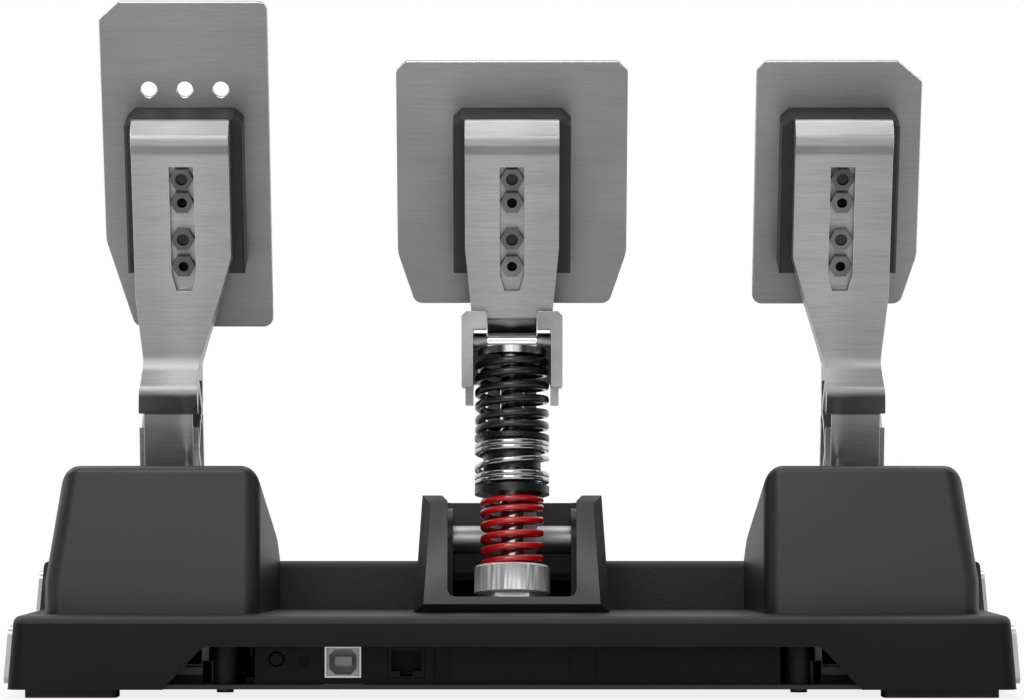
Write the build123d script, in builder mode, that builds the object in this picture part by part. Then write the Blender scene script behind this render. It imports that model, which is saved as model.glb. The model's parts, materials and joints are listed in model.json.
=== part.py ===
from build123d import *
import os
from math import atan2, cos, degrees, pi, radians, sin, tan

os.makedirs("parts", exist_ok=True)

# Sim racing pedal set. Millimetres: +X right as seen from the rear, +Y towards the driver,
# +Z up from the floor. The origin is under the middle of the base. Places along Y are
# measured forward from the rear lip, and each finished piece then moves back to the origin.

# Base shell
base_width = 332.0
base_depth = 285.0
foot_height = 2.8
shelf_height = 27.0
deck_spring_room = 2.0
front_height = 15.0
shell_wall = 3.0
side_lean = 5.0
corner_round = 5.0
edge_round = 2.5
recess_side_margin = 64.5
recess_flare = 13.3
recess_height = 16.9
recess_round = 6.0
boss_radius = 4.0
boss_bore = 1.3
recess_boss_margin = 6.8
recess_boss_inset = 10.0
case_screw_side_inset = 16.0
case_screw_rear_inset = 136.5
case_screw_front_inset = 30.5
case_screw_head = 1.2
case_screw_head_radius = 2.8
case_screw_length = 9.0

# Plates, feet and threaded inserts under the base
plate_thickness = 1.5
plate_gap = 0.3
foot_length = 15.0
foot_widths = (30.2, 38.0)
foot_side_inset = 5.7
foot_end_inset = 3.5
foot_round = 2.0
insert_side_inset = 66.0
insert_end_inset = 42.5
insert_thread_radius = 2.5
insert_radius = 4.5
insert_length = 8.0

# Side trim plates
trim_thickness = 1.6
trim_inset = 3.4
trim_round = 3.0

# Heel plate on the sloping deck
heel_side_margin = 14.0
heel_plate_start = 50.0
heel_plate_length = 148.0
heel_plate_thickness = 2.0
heel_plate_round = 6.0
grip_rib_width = 3.0
grip_rib_height = 0.8
grip_rib_gap = 16.0
grip_rib_side_margin = 14.0
grip_rib_end_margin = 18.0
grip_rib_columns = 3
grip_rib_rows = 8
heel_screw_radius = 3.2
heel_screw_inset = 8.0
heel_screw_depth = 9.0
heel_screw_shank = 1.5
heel_screw_head = 1.2

# Towers behind the throttle and the clutch
tower_setback = 24.5
tower_rise = 33.6
tower_shoulder_rise = 17.0
tower_shoulder_run = 41.0
tower_inner_half = 33.3
tower_inner_flare = 4.2
tower_outer_half = 38.1
tower_outer_flare = 2.0
tower_outer_taper = 8.4
tower_wall = 2.6
tower_rear_slope = 1.5
tower_round = 6.0
tower_edge_round = 2.4
slot_gap = 1.6
slot_rear_y = 50.5
slot_front_y = 115.5

# Pedal heads: plate, spacer block and the top of the arm lean alike
pedal_side_margin = 54.5
head_y = 44.5
head_z = 158.0
head_lean = 20.0
arm_thickness = 12.0
spacer_thickness = 14.0
face_plate_thickness = 2.0
spacer_width = 40.0
spacer_top = 34.0
spacer_bottom = -21.0
spacer_chamfer = 3.0
spacer_bevel = 0.8
arm_top = 35.1
lip_setback = 4.0
lip_bulge = 1.8
lip_high = 31.2
lip_low = 28.2
lip_root = 24.4
channel_width = 8.3
channel_depth = 3.4
channel_top = 20.2
channel_shoulder = -17.6
channel_bottom = -23.5
channel_foot_width = 5.1
nut_heights = (15.8, 7.6, -5.4, -14.8)
nut_flats = 7.0
nut_thickness = 3.2
nut_bore = 1.7
screw_radius = 2.0
screw_hole_gap = 0.15
screw_head_radius = 3.8
screw_head_height = 2.2
screw_socket_flats = 2.5
screw_socket_depth = 1.2
screw_end_depth = 1.2
plate_hole_radius = 2.75
plate_hole_pitch = 12.3
throttle_hole_row = 40.3

# Face plate outlines as seen from the rear
throttle_plate_half = 28.6
throttle_plate_top = 70.8
throttle_plate_bottom = -44.6
throttle_plate_corner_x = 7.0
throttle_plate_corner_h = 6.3
throttle_plate_slant_top = -13.3
throttle_plate_slant_x = 9.2
brake_plate_half = 39.5
brake_plate_top = 50.1
brake_plate_bottom = -36.0
brake_plate_corner = 3.4
brake_plate_slant_top = -17.5
brake_plate_slant_x = 6.0
clutch_plate_half = 28.3
clutch_plate_top = 50.2
clutch_plate_bottom = -36.2
clutch_plate_corner_x = 8.7
clutch_plate_corner_h = 7.3
clutch_plate_slant_top = -18.7
clutch_plate_slant_x = 5.2
clutch_plate_small_corner = 3.4
plate_corner_round = 3.5
plate_soft_round = 12.0
plate_soft_corner = 1.0

# Throttle and clutch arms
side_arm_offset = 6.5
side_arm_half = 10.2
side_arm_outer_waist = 8.1
side_arm_inner_waist = 11.0
side_arm_top_inner = 22.6
side_arm_shoulder = 134.0
side_arm_shoulder_inner = 18.5
side_arm_waist = 112.0
side_arm_taper_top = 147.0
side_pivot_y = 92.5
side_pivot_z = 32.0
side_hub_radius = 12.0
knee_top = 112.0
knee_out_z = 101.3
knee_out_y = 56.0
knee_in_z = 94.5
knee_in_y = 65.5
block_foot_y = 72.5
block_foot_z = 60.0
front_foot_y = 102.5
front_elbow_y = 92.5
front_elbow_z = 92.0
front_bend_z = 121.0
rail_width = 1.9
rail_step = 2.4
pocket_depth = 5.6
pocket_rail = 3.4
pocket_rib = 2.6
side_truss_levels = (50.0, 66.0, 82.0, 96.0, 106.0)
arm_soft_round = 9.0
side_arm_rounds = (0, 8.0, 1.6, 3.5, 8.0, 4.0, 2.0, 2.5, 1.5, 0.8, 16.0, 14.0, 12.0, 0)

# Brake arm
brake_arm_half = 8.5
brake_arm_shoulder_half = 13.9
brake_arm_top_half = 15.9
brake_arm_shoulder = 129.4
brake_arm_taper_top = 150.0
brake_pivot_y = 98.5
brake_pivot_z = 50.7
brake_hub_radius = 13.0
brake_under_z = 126.4
brake_under_y = 82.5
brake_under_drop = 4.6
brake_rear_top_y = 84.5
brake_rear_foot_y = 85.5
brake_front_head = -26.0
brake_front_elbow_y = 100.5
brake_front_elbow_z = 122.0
brake_front_waist_y = 107.5
brake_front_waist_z = 104.0
brake_front_foot_y = 111.0
brake_truss_levels = (66.0, 78.0, 90.0, 101.0)
brake_arm_rounds = (0, 0, 1.0, 1.0, 1.5, 4.0, 2.0, 2.5, 1.5, 0.8, 10.0, 6.0, 14.0, 0, 0)

# Axles, bushings, brackets
axle_radius = 4.0
axle_head_radius = 5.4
axle_head = 1.2
running_gap = 0.04
bushing_radius = 5.2
fit_gap = 0.05
cheek_gap = 0.3
bracket_sheet = 2.5
bracket_length = 26.0
bracket_top_radius = 6.2
bracket_foot_height = 9.0
bracket_neck = 22.0
frame_bolt_radius = 2.5
frame_bolt_head_radius = 4.2
frame_bolt_head = 1.6
frame_bolt_length = 9.0
bolt_reach = 10.0
cell_bolt_rear_y = 104.5
cell_bolt_front_y = 116.5
brake_cheek_inner = 20.6
brake_cheek_sheet = 3.0
brake_bracket_rear = 84.5
brake_bracket_front = 114.5
brake_bracket_radius = 11.0
brake_strap_rear = 92.5
brake_strap_front = 122.5
sleeve_radius = 4.95
return_spring_radius = 7.0
return_spring_length = 7.5
magnet_radius = 2.0
magnet_length = 3.0
magnet_drop = 8.3
sensor_width = 12.0
sensor_height = 13.0
board_thickness = 1.6

# Clevis ears on the brake arm
clevis_pin_y = 69.9
clevis_pin_z = 119.5
ear_inner = 13.3
ear_outer = 17.2
ear_rear_y = 53.0
ear_front_y = 100.5
ear_top_gap = 0.2
ear_bottom = 103.5
ear_chamfer = 3.0
ear_block_bottom = 123.2
ear_block_front_y = 65.5
ear_tab_bottom = 97.4
ear_tab_outer = 16.0
ear_tab_half = 7.0
ear_boss_radius = 2.8
ear_pad_bottom = 105.0
ear_pad_top = 121.0
ear_pad_rear_y = 86.5
cross_pin_radius = 1.75
ear_bolt_y = 93.0
ear_bolt_heights = (108.5, 116.5)
open_pivot_gap = 0.3

# Load cell and spring strut
cell_side = 12.7
cell_length = 75.0
cell_rear_y = 47.0
cell_hole_radius = 4.2
cell_hole_pitch = 14.0
strut_foot_y = 54.8
foot_pin_radius = 2.5
fork_gap = 0.3
fork_sheet = 3.2
fork_eye_radius = 5.2
fork_top = 12.2
neck_flats = 20.0
cup_bottom = 20.6
cup_floor = 26.6
cup_rim = 30.6
cup_radius = 12.95
cup_bore = 11.4
cup_chamfer = 0.7
rod_radius = 4.0
rod_end = 21.0
rod_bore_end = 14.9
slide_gap = 0.06
saddle_half = 2.6
lower_guide_base = 54.0
lower_guide_flange = 2.7
lower_guide_spigot = 2.0
lower_guide_spigot_radius = 7.2
silver_length = 15.9
upper_guide_flange = 1.7
upper_guide_spigot = 10.0
upper_guide_spigot_radius = 9.9
guide_flange_radius = 12.8
seat_radius = 11.65
seat_thickness = 2.4
barrel_radius = 3.2
barrel_half = 8.3
seat_gap = 0.25
black_coil_radius = 12.75
black_wire = 2.9
black_turns = 5
black_closed = 1
silver_coil_radius = 12.8
silver_wire = 1.7
silver_turns = 5
silver_closed = 2
red_coil_radius = 10.9
red_wire = 2.5
red_turns = 6.5
red_closed = 1
closed_turn_gap = 0.6
gap_samples = 24

# Bezel round the strut
bezel_foot_half = 33.0
bezel_top_half = 30.3
bezel_height = 66.6
bezel_rear_y = 36.5
bezel_rear_top_y = 42.5
bezel_front_y = 121.5
bezel_front_height = 63.6
bezel_opening_half = 21.8
bezel_inner_half = 24.0
bezel_frame_depth = 6.0
bezel_sill = 5.3
bezel_wall = 3.0
bezel_chamfer = 3.0
bezel_opening_round = 3.0
well_half = 24.2
well_rear_y = 40.5
well_front_y = 118.5

# Ports in the rear recess
panel_y = 14.5
panel_sheet = 2.0
panel_left_margin = 16.3
panel_right_margin = 12.6
panel_gap_starts = (59.3, 104.1)
panel_gap_widths = (5.3, 9.3)
panel_gap_depth = 1.1
usb_inset = 29.2
usb_z = 11.4
usb_width = 12.0
usb_height = 10.4
usb_depth = 16.0
usb_wall = 0.5
usb_mouth_width = 9.2
usb_mouth_height = 8.4
usb_mouth_chamfer = 2.0
usb_mouth_depth = 9.0
usb_tongue_width = 5.6
usb_tongue_height = 3.1
usb_tongue_length = 4.4
usb_proud = 0.6
rj_inset = 50.2
rj_width = 12.1
rj_height = 11.0
rj_depth = 13.5
rj_mouth_width = 9.8
rj_mouth_height = 6.7
rj_latch_width = 4.2
rj_latch_height = 1.7
rj_mouth_depth = 9.5
button_inset = 7.2
button_z = 12.3
button_radius = 2.3
button_proud = 1.2
button_travel = 0.8
button_length = 7.0
button_collar_radius = 3.3
button_collar = 1.2
button_edge_round = 0.5
switch_side = 6.0
switch_depth = 4.0
switch_top = 15.4
led_inset = 16.2
led_z = 11.5
led_radius = 1.5
led_length = 5.0
led_proud = 0.4
board_margin = 2.8
board_width = 64.0
board_depth = 38.0
board_lift = 0.3
chip_side = 10.0
chip_height = 1.2
chip_inset = 14.0

# Shared clearances
overrun = 5.0
small_gap = 0.15
match = 0.01

# Places that follow from the sizes above
rear_y = 0.0
front_y = rear_y + base_depth
deck_y = side_pivot_y - return_spring_radius - shell_wall
deck_height = side_pivot_z + return_spring_radius + deck_spring_room + shell_wall
deck_slope = atan2(deck_height - front_height, front_y - deck_y)
tower_rear_y = rear_y + tower_setback
tower_shoulder_y = tower_rear_y + tower_shoulder_run
tower_height = deck_height + tower_rise
tower_shoulder_height = deck_height + tower_shoulder_rise
pedal_pitch = base_width / 2 - pedal_side_margin
arm_x = -pedal_pitch - side_arm_offset
recess_half_width = base_width / 2 - recess_side_margin
recess_boss_x = recess_half_width - recess_boss_margin
heel_plate_width = base_width - 2 * heel_side_margin
grip_rib_pitch_x = (heel_plate_width - 2 * grip_rib_side_margin) / grip_rib_columns
grip_rib_pitch_y = (heel_plate_length - 2 * grip_rib_end_margin) / (grip_rib_rows - 1)
plate_top = foot_height + plate_thickness
lean = radians(head_lean)
cell_bottom = plate_top + bracket_sheet
strut_foot_z = cell_bottom + cell_side / 2
strut_length = Vector(0, clevis_pin_y - strut_foot_y, clevis_pin_z - strut_foot_z).length
strut_lean = atan2(clevis_pin_y - strut_foot_y, clevis_pin_z - strut_foot_z)
seat_top = strut_length - barrel_radius
seat_base = seat_top - seat_thickness
lower_guide_top = lower_guide_base + lower_guide_flange
upper_guide_base = lower_guide_top + silver_length
upper_guide_top = upper_guide_base + upper_guide_flange
axle_half = side_arm_half + cheek_gap + bracket_sheet
spacer_plane = -arm_thickness
plate_plane = -arm_thickness - spacer_thickness
plate_front = plate_plane - face_plate_thickness
used_nuts = (nut_heights[0], nut_heights[2])
spare_nuts = (nut_heights[1], nut_heights[3])
ear_top = brake_arm_shoulder - ear_top_gap
fork_inner = cell_side / 2 + fork_gap
fork_outer = fork_inner + fork_sheet
panel_left = -recess_half_width + panel_left_margin
panel_right = recess_half_width - panel_right_margin
panel_top = shelf_height - shell_wall - small_gap
usb_x = panel_left + usb_inset
rj_x = panel_left + rj_inset
button_x = panel_left + button_inset
led_x = panel_left + led_inset
socket_y = panel_y - usb_proud
board_bottom = plate_top + board_lift
board_top = board_bottom + board_thickness


def save(piece, name):
    """Name a finished piece, move it back by half the base's depth and write its STEP file."""
    piece.part.label = name
    export_step(piece.part.moved(Location((0, -base_depth / 2, 0))), f"parts/{name}.step")


def head_plane(x, offset=0.0):
    """Plane of an arm's flat rear face, or one moved along its rearward normal."""
    face = Plane(origin=(x, head_y, head_z), x_dir=(1, 0, 0), z_dir=(0, -cos(lean), -sin(lean)))
    return face.offset(offset)


def head_point(outward, height):
    """Side-view point at a height along the leaning arm, outward from its rear face."""
    y = head_y - outward * cos(lean) - height * sin(lean)
    z = head_z - outward * sin(lean) + height * cos(lean)
    return (y, z)


def head_height(z, outward=0.0):
    """Height along the leaning arm of a point at level z."""
    return (z - head_z + outward * sin(lean)) / cos(lean)


def deck_top(y):
    """Level of the sloping deck."""
    return deck_height - (y - deck_y) * tan(deck_slope)


def deck_plane(run):
    """Plane on the sloping deck, a run forward of its rear edge."""
    origin = (0, deck_y + run * cos(deck_slope), deck_height - run * sin(deck_slope))
    return Plane(origin=origin, x_dir=(1, 0, 0), z_dir=(0, sin(deck_slope), cos(deck_slope)))


def strut_plane(station):
    """Plane square to the spring strut, a distance up its axis from the foot pin."""
    y = strut_foot_y + station * sin(strut_lean)
    z = strut_foot_z + station * cos(strut_lean)
    return Plane(origin=(0, y, z), x_dir=(1, 0, 0), z_dir=(0, sin(strut_lean), cos(strut_lean)))


def strut_point(across, station):
    """Side-view point beside the strut's axis."""
    y = strut_foot_y + station * sin(strut_lean) + across * cos(strut_lean)
    z = strut_foot_z + station * cos(strut_lean) - across * sin(strut_lean)
    return (y, z)


def level_y(contour, z):
    """The y at level z of a side-view contour given from low to high."""
    for (y0, z0), (y1, z1) in zip(contour, contour[1:]):
        if z0 <= z <= z1:
            return y0 + (y1 - y0) * (z - z0) / (z1 - z0)
    return contour[-1][0]


def near(edges, y, z):
    """Edges whose middle lies at y and z."""
    return [e for e in edges if abs(e.center().Y - y) < match and abs(e.center().Z - z) < match]


# Deck shell: low rear shelf, raised wall and sloping deck, moulded hollow from below

def deck_outline(inset):
    """Side view of the deck, or of its cavity when inset by a wall."""
    return [
        (rear_y + inset, foot_height),
        (rear_y + inset, shelf_height - inset),
        (deck_y + inset, shelf_height - inset),
        (deck_y + inset, deck_height - inset),
        (front_y - inset, front_height - inset),
        (front_y - inset, foot_height),
    ]


def deck_block(inset):
    """Solid deck with leaning sides, inset by a wall for the cavity."""
    half_foot = base_width / 2 - inset
    half_top = half_foot - (deck_height - foot_height) * tan(radians(side_lean))
    with BuildPart() as block:
        with BuildSketch(Plane.YZ):
            with BuildLine():
                Polyline(*deck_outline(inset), close=True)
            make_face()
        extrude(amount=base_width / 2, both=True)
        with BuildSketch(Plane.XZ):
            with BuildLine():
                Polyline(
                    (-half_foot, foot_height),
                    (-half_top, deck_height),
                    (half_top, deck_height),
                    (half_foot, foot_height),
                    close=True,
                )
            make_face()
        extrude(amount=base_depth, both=True, mode=Mode.INTERSECT)
    return block


def side_x(z):
    """Half width of the leaning deck sides at level z."""
    return base_width / 2 - (z - foot_height) * tan(radians(side_lean))


case_screw_x = base_width / 2 - case_screw_side_inset
case_screw_rows = (rear_y + case_screw_rear_inset, front_y - case_screw_front_inset)
heel_screw_x = heel_plate_width / 2 - heel_screw_inset
heel_screw_y = heel_plate_length / 2 - heel_screw_inset
heel_plane = deck_plane(heel_plate_start + heel_plate_length / 2)
heel_screw_places = [(x, y) for x in (-heel_screw_x, 0, heel_screw_x) for y in (-heel_screw_y, heel_screw_y)]
outer_deck = deck_block(0)
deck_cavity = deck_block(shell_wall).part
with BuildPart() as deck_shell:
    add(outer_deck.part)
    corners = [
        e for e in deck_shell.edges()
        if abs(e.center().X) > side_x(deck_height) - match
        and min(e.center().Y - rear_y, front_y - e.center().Y) < match
        and e.center().Z > foot_height + match
    ]
    fillet(corners, radius=corner_round)
    crests = near(deck_shell.edges().filter_by(Axis.X), rear_y, shelf_height)
    crests += near(deck_shell.edges().filter_by(Axis.X), deck_y, deck_height)
    crests += near(deck_shell.edges().filter_by(Axis.X), front_y, front_height)
    fillet(crests, radius=edge_round)
    add(deck_cavity, mode=Mode.SUBTRACT)
    # Cut-out in the rear lip for the sockets
    with BuildSketch(Plane.XZ.offset(-rear_y - shell_wall - overrun)):
        with BuildLine():
            FilletPolyline(
                (-recess_half_width - recess_flare, foot_height),
                (-recess_half_width, recess_height),
                (recess_half_width, recess_height),
                (recess_half_width + recess_flare, foot_height),
                radius=(0, recess_round, recess_round, 0),
                close=True,
            )
        make_face()
    extrude(amount=shell_wall + 2 * overrun, mode=Mode.SUBTRACT)
    # Slots for the two side arms
    with BuildSketch(Plane.XY.offset(plate_top)):
        with Locations(
            (arm_x, (slot_rear_y + slot_front_y) / 2),
            (-arm_x, (slot_rear_y + slot_front_y) / 2),
        ):
            Rectangle(2 * (side_arm_half + slot_gap), slot_front_y - slot_rear_y)
        # Well under the brake strut
        with Locations((0, (well_rear_y + well_front_y) / 2)):
            Rectangle(2 * well_half, well_front_y - well_rear_y)
    extrude(amount=deck_height, mode=Mode.SUBTRACT)
    # Screw bosses down to the bottom plate
    for y in case_screw_rows:
        with BuildSketch(Plane.XY.offset(plate_top + small_gap)):
            with Locations((case_screw_x, y), (-case_screw_x, y)):
                Circle(boss_radius)
                Circle(boss_bore, mode=Mode.SUBTRACT)
        extrude(amount=deck_top(y) - shell_wall / 2 - plate_top - small_gap)
    with BuildSketch(Plane.XY.offset(plate_top + small_gap)):
        with Locations(
            (recess_boss_x, rear_y + recess_boss_inset),
            (-recess_boss_x, rear_y + recess_boss_inset),
        ):
            Circle(boss_radius)
            Circle(boss_bore, mode=Mode.SUBTRACT)
    extrude(amount=shelf_height - shell_wall / 2 - plate_top - small_gap)
    with BuildSketch(heel_plane):
        with Locations(*heel_screw_places):
            Circle(heel_screw_shank + small_gap)
    extrude(amount=-heel_screw_depth, mode=Mode.SUBTRACT)
save(deck_shell, "deck_shell")
print("deck", deck_shell.part.is_valid, len(deck_shell.solids()))

# Bottom plate: folded steel sheet that closes the shell and carries every bracket
insert_x = base_width / 2 - insert_side_inset
insert_rows = (rear_y + insert_end_inset, front_y - insert_end_inset)
insert_places = [(x, y) for x in (-insert_x, insert_x) for y in insert_rows]
case_screw_places = [(x, y) for y in case_screw_rows for x in (-case_screw_x, case_screw_x)]
case_screw_places += [(x, rear_y + recess_boss_inset) for x in (-recess_boss_x, recess_boss_x)]
frame_bolt_places = [(x, side_pivot_y + y) for x in (arm_x, -arm_x) for y in (-bolt_reach, bolt_reach)]
cell_bolt_rows = (cell_bolt_rear_y, cell_bolt_front_y)
frame_bolt_places += [(0, y) for y in cell_bolt_rows]
plate_half = base_width / 2 - shell_wall - plate_gap
plate_reach = base_depth / 2 - shell_wall - plate_gap
with BuildPart() as bottom_plate:
    with BuildSketch(Plane.XY.offset(foot_height)):
        with Locations((0, (rear_y + front_y) / 2)):
            RectangleRounded(2 * plate_half, 2 * plate_reach, edge_round)
        with Locations(*insert_places):
            Circle(insert_radius + fit_gap, mode=Mode.SUBTRACT)
        with Locations(*case_screw_places):
            Circle(boss_bore + small_gap, mode=Mode.SUBTRACT)
        with Locations(*frame_bolt_places):
            Circle(frame_bolt_radius + small_gap, mode=Mode.SUBTRACT)
    extrude(amount=plate_thickness)
save(bottom_plate, "bottom_plate")

# Threaded inserts for bolting the base to a rig, pressed into the bottom plate
with BuildPart() as mounting_inserts:
    with BuildSketch(Plane.XY.offset(foot_height)):
        with Locations(*insert_places):
            Circle(insert_radius)
            Circle(insert_thread_radius, mode=Mode.SUBTRACT)
    extrude(amount=insert_length)
save(mounting_inserts, "mounting_inserts")

# Self-tapping screws from below into the shell's bosses
with BuildPart() as case_screws:
    with BuildSketch(Plane.XY.offset(foot_height - case_screw_head)):
        with Locations(*case_screw_places):
            Circle(case_screw_head_radius)
    extrude(amount=case_screw_head)
    with BuildSketch(Plane.XY.offset(foot_height)):
        with Locations(*case_screw_places):
            Circle(boss_bore - fit_gap)
    extrude(amount=case_screw_length)
save(case_screws, "case_screws")

# Bolts from below that hold the pivot brackets and the load cell
with BuildPart() as frame_bolts:
    with BuildSketch(Plane.XY.offset(foot_height - frame_bolt_head)):
        with Locations(*frame_bolt_places):
            Circle(frame_bolt_head_radius)
    extrude(amount=frame_bolt_head)
    with BuildSketch(Plane.XY.offset(foot_height)):
        with Locations(*frame_bolt_places):
            Circle(frame_bolt_radius)
    extrude(amount=frame_bolt_length)
save(frame_bolts, "frame_bolts")

# Rubber feet at the four corners
with BuildPart() as rubber_feet:
    with BuildSketch():
        for side, width in zip((-1, 1), foot_widths):
            x = side * (base_width / 2 - foot_side_inset - width / 2)
            inset = foot_end_inset + foot_length / 2
            with Locations((x, rear_y + inset), (x, front_y - inset)):
                RectangleRounded(width, foot_length, foot_round)
    extrude(amount=foot_height)
save(rubber_feet, "rubber_feet")

# Brushed trim plates on the two leaning sides
trim_plane = Plane(
    origin=(base_width / 2, 0, foot_height),
    x_dir=(0, 1, 0),
    z_dir=(cos(radians(side_lean)), 0, sin(radians(side_lean))),
)
trim_low = trim_inset / 2
trim_shelf = shelf_height - foot_height - trim_inset
trim_deck = deck_height - foot_height - trim_inset
trim_front = front_height - foot_height - trim_inset
with BuildPart() as side_trims:
    with BuildSketch(trim_plane):
        with BuildLine():
            FilletPolyline(
                (rear_y + corner_round, trim_low),
                (rear_y + corner_round, trim_shelf),
                (deck_y + trim_inset, trim_shelf),
                (deck_y + trim_inset, trim_deck),
                (front_y - corner_round, trim_front),
                (front_y - corner_round, trim_low),
                radius=trim_round,
                close=True,
            )
        make_face()
    extrude(amount=trim_thickness)
    mirror(about=Plane.YZ)
save(side_trims, "side_trims")

# Heel plate: sheet with raised grip ribs, held by countersunk screws
with BuildPart() as heel_plate:
    with BuildSketch(heel_plane):
        RectangleRounded(heel_plate_width, heel_plate_length, heel_plate_round)
    extrude(amount=heel_plate_thickness)
    with BuildSketch(heel_plane.offset(heel_plate_thickness)):
        with GridLocations(grip_rib_pitch_x, grip_rib_pitch_y, grip_rib_columns, grip_rib_rows):
            SlotOverall(grip_rib_pitch_x - grip_rib_gap, grip_rib_width)
    extrude(amount=grip_rib_height)
    with BuildSketch(heel_plane):
        with Locations(*heel_screw_places):
            Circle(heel_screw_shank + small_gap)
    extrude(amount=heel_plate_thickness, mode=Mode.SUBTRACT)
    with BuildSketch(heel_plane.offset(heel_plate_thickness)):
        with Locations(*heel_screw_places):
            Circle(heel_screw_radius + small_gap)
    extrude(amount=-heel_screw_head, mode=Mode.SUBTRACT)
save(heel_plate, "heel_plate")

with BuildPart() as heel_plate_screws:
    with BuildSketch(heel_plane.offset(heel_plate_thickness)):
        with Locations(*heel_screw_places):
            Circle(heel_screw_radius)
    extrude(amount=-heel_screw_head)
    with BuildSketch(heel_plane.offset(heel_plate_thickness - heel_screw_head)):
        with Locations(*heel_screw_places):
            Circle(heel_screw_shank)
    extrude(amount=-heel_screw_depth)
save(heel_plate_screws, "heel_plate_screws")


# Towers: moulded covers behind the throttle and clutch arms, hollow and open below

def tower_block(inset):
    """Solid tower behind the throttle arm, inset by its wall for the cavity."""
    tower_front = deck_y - small_gap
    with BuildPart() as block:
        with BuildSketch(Plane.YZ.offset(arm_x)):
            with BuildLine():
                Polyline(
                    (tower_rear_y + inset, shelf_height),
                    (tower_rear_y + inset + tower_rear_slope, tower_height - inset),
                    (tower_shoulder_y, tower_shoulder_height - inset),
                    (tower_front, deck_height - inset),
                    (tower_front, shelf_height),
                    close=True,
                )
            make_face()
        extrude(amount=base_width, both=True)
        outer = arm_x - tower_outer_half + inset
        inner = arm_x + tower_inner_half - inset
        with BuildSketch(Plane.XZ.offset(-tower_rear_y)):
            with BuildLine():
                Polyline(
                    (outer - tower_outer_flare, shelf_height),
                    (outer - tower_outer_flare + tower_outer_taper, tower_height),
                    (inner + tower_inner_flare, tower_height),
                    (inner + tower_inner_flare, shelf_height),
                    close=True,
                )
            make_face()
        extrude(amount=base_depth, both=True, mode=Mode.INTERSECT)
        with BuildSketch(Plane.XY.offset(shelf_height)):
            with BuildLine():
                Polyline(
                    (outer, tower_rear_y),
                    (outer - tower_outer_flare, tower_front),
                    (inner + tower_inner_flare, tower_front),
                    (inner, tower_rear_y),
                    close=True,
                )
            make_face()
        extrude(amount=tower_height, mode=Mode.INTERSECT)
    return block


outer_tower = tower_block(0)
tower_cavity = tower_block(tower_wall).part
with BuildPart() as throttle_tower:
    add(outer_tower.part)
    rear_corners = [
        e for e in throttle_tower.edges()
        if e.center().Y < tower_shoulder_y - tower_shoulder_run / 3
        and shelf_height + overrun < e.center().Z < tower_height - overrun
    ]
    fillet(rear_corners, radius=tower_round)
    crest = throttle_tower.faces().sort_by(Axis.Z)[-1].edges()
    crest = [e for e in crest if e.center().Y < tower_shoulder_y - match]
    fillet(crest, radius=tower_edge_round)
    add(tower_cavity, mode=Mode.SUBTRACT)
    with BuildSketch(Plane.XY.offset(shelf_height)):
        with Locations((arm_x, (slot_rear_y + slot_front_y) / 2)):
            Rectangle(2 * (side_arm_half + slot_gap), slot_front_y - slot_rear_y)
    extrude(amount=tower_height, mode=Mode.SUBTRACT)
save(throttle_tower, "throttle_tower")
print("tower", throttle_tower.part.is_valid, len(throttle_tower.solids()))

with BuildPart() as clutch_tower:
    mirror(throttle_tower.part, about=Plane.YZ)
save(clutch_tower, "clutch_tower")

# Bezel: open U-shaped frame with side walls and a front wall round the brake strut

def bezel_profile(inset):
    """Side view of the bezel, its rear face leaning forward, or moved in by the frame's depth."""
    return [
        (bezel_rear_y + inset, shelf_height),
        (bezel_rear_top_y + inset, bezel_height),
        (bezel_front_y, bezel_front_height),
        (bezel_front_y, deck_top(bezel_front_y)),
        (deck_y - small_gap, deck_height + small_gap),
        (deck_y - small_gap, shelf_height),
    ]


with BuildPart() as brake_bezel:
    with BuildSketch(Plane.YZ):
        with BuildLine():
            Polyline(*bezel_profile(0), close=True)
        make_face()
    extrude(amount=bezel_foot_half, both=True)
    with BuildSketch(Plane.XZ):
        with BuildLine():
            Polyline(
                (-bezel_foot_half, shelf_height),
                (-bezel_top_half, bezel_height),
                (bezel_top_half, bezel_height),
                (bezel_foot_half, shelf_height),
                close=True,
            )
        make_face()
        with BuildLine():
            FilletPolyline(
                (-bezel_opening_half, bezel_height + overrun),
                (-bezel_opening_half, shelf_height + bezel_sill),
                (bezel_opening_half, shelf_height + bezel_sill),
                (bezel_opening_half, bezel_height + overrun),
                radius=(0, bezel_opening_round, bezel_opening_round, 0),
                close=True,
            )
        make_face(mode=Mode.SUBTRACT)
    extrude(amount=base_depth, both=True, mode=Mode.INTERSECT)
    rim = brake_bezel.faces().sort_by(Axis.Y)[0].outer_wire().edges()
    rim = [
        e for e in rim
        if abs(e.center().X) > bezel_opening_half + match or e.center().Z < shelf_height + bezel_sill / 2
    ]
    chamfer(rim, length=bezel_chamfer)
    # Room for the bracket behind the frame
    with BuildSketch(Plane.YZ):
        with BuildLine():
            Polyline(
                (bezel_rear_y + bezel_frame_depth, shelf_height - overrun),
                (bezel_rear_top_y + bezel_frame_depth, bezel_height + overrun),
                (bezel_front_y - bezel_wall, bezel_height + overrun),
                (bezel_front_y - bezel_wall, shelf_height - overrun),
                close=True,
            )
        make_face()
    extrude(amount=bezel_inner_half, both=True, mode=Mode.SUBTRACT)
    # Front wall between the two side walls
    with BuildSketch(Plane.YZ):
        with BuildLine():
            Polyline(
                (bezel_front_y - bezel_wall, deck_top(bezel_front_y - bezel_wall)),
                (bezel_front_y - bezel_wall, bezel_front_height),
                (bezel_front_y, bezel_front_height),
                (bezel_front_y, deck_top(bezel_front_y)),
                close=True,
            )
        make_face()
    extrude(amount=bezel_inner_half, both=True)
save(brake_bezel, "brake_bezel")
print("bezel", brake_bezel.part.is_valid, len(brake_bezel.solids()))


# Pivot brackets: bent steel sheet on the bottom plate, one under each side arm

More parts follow.
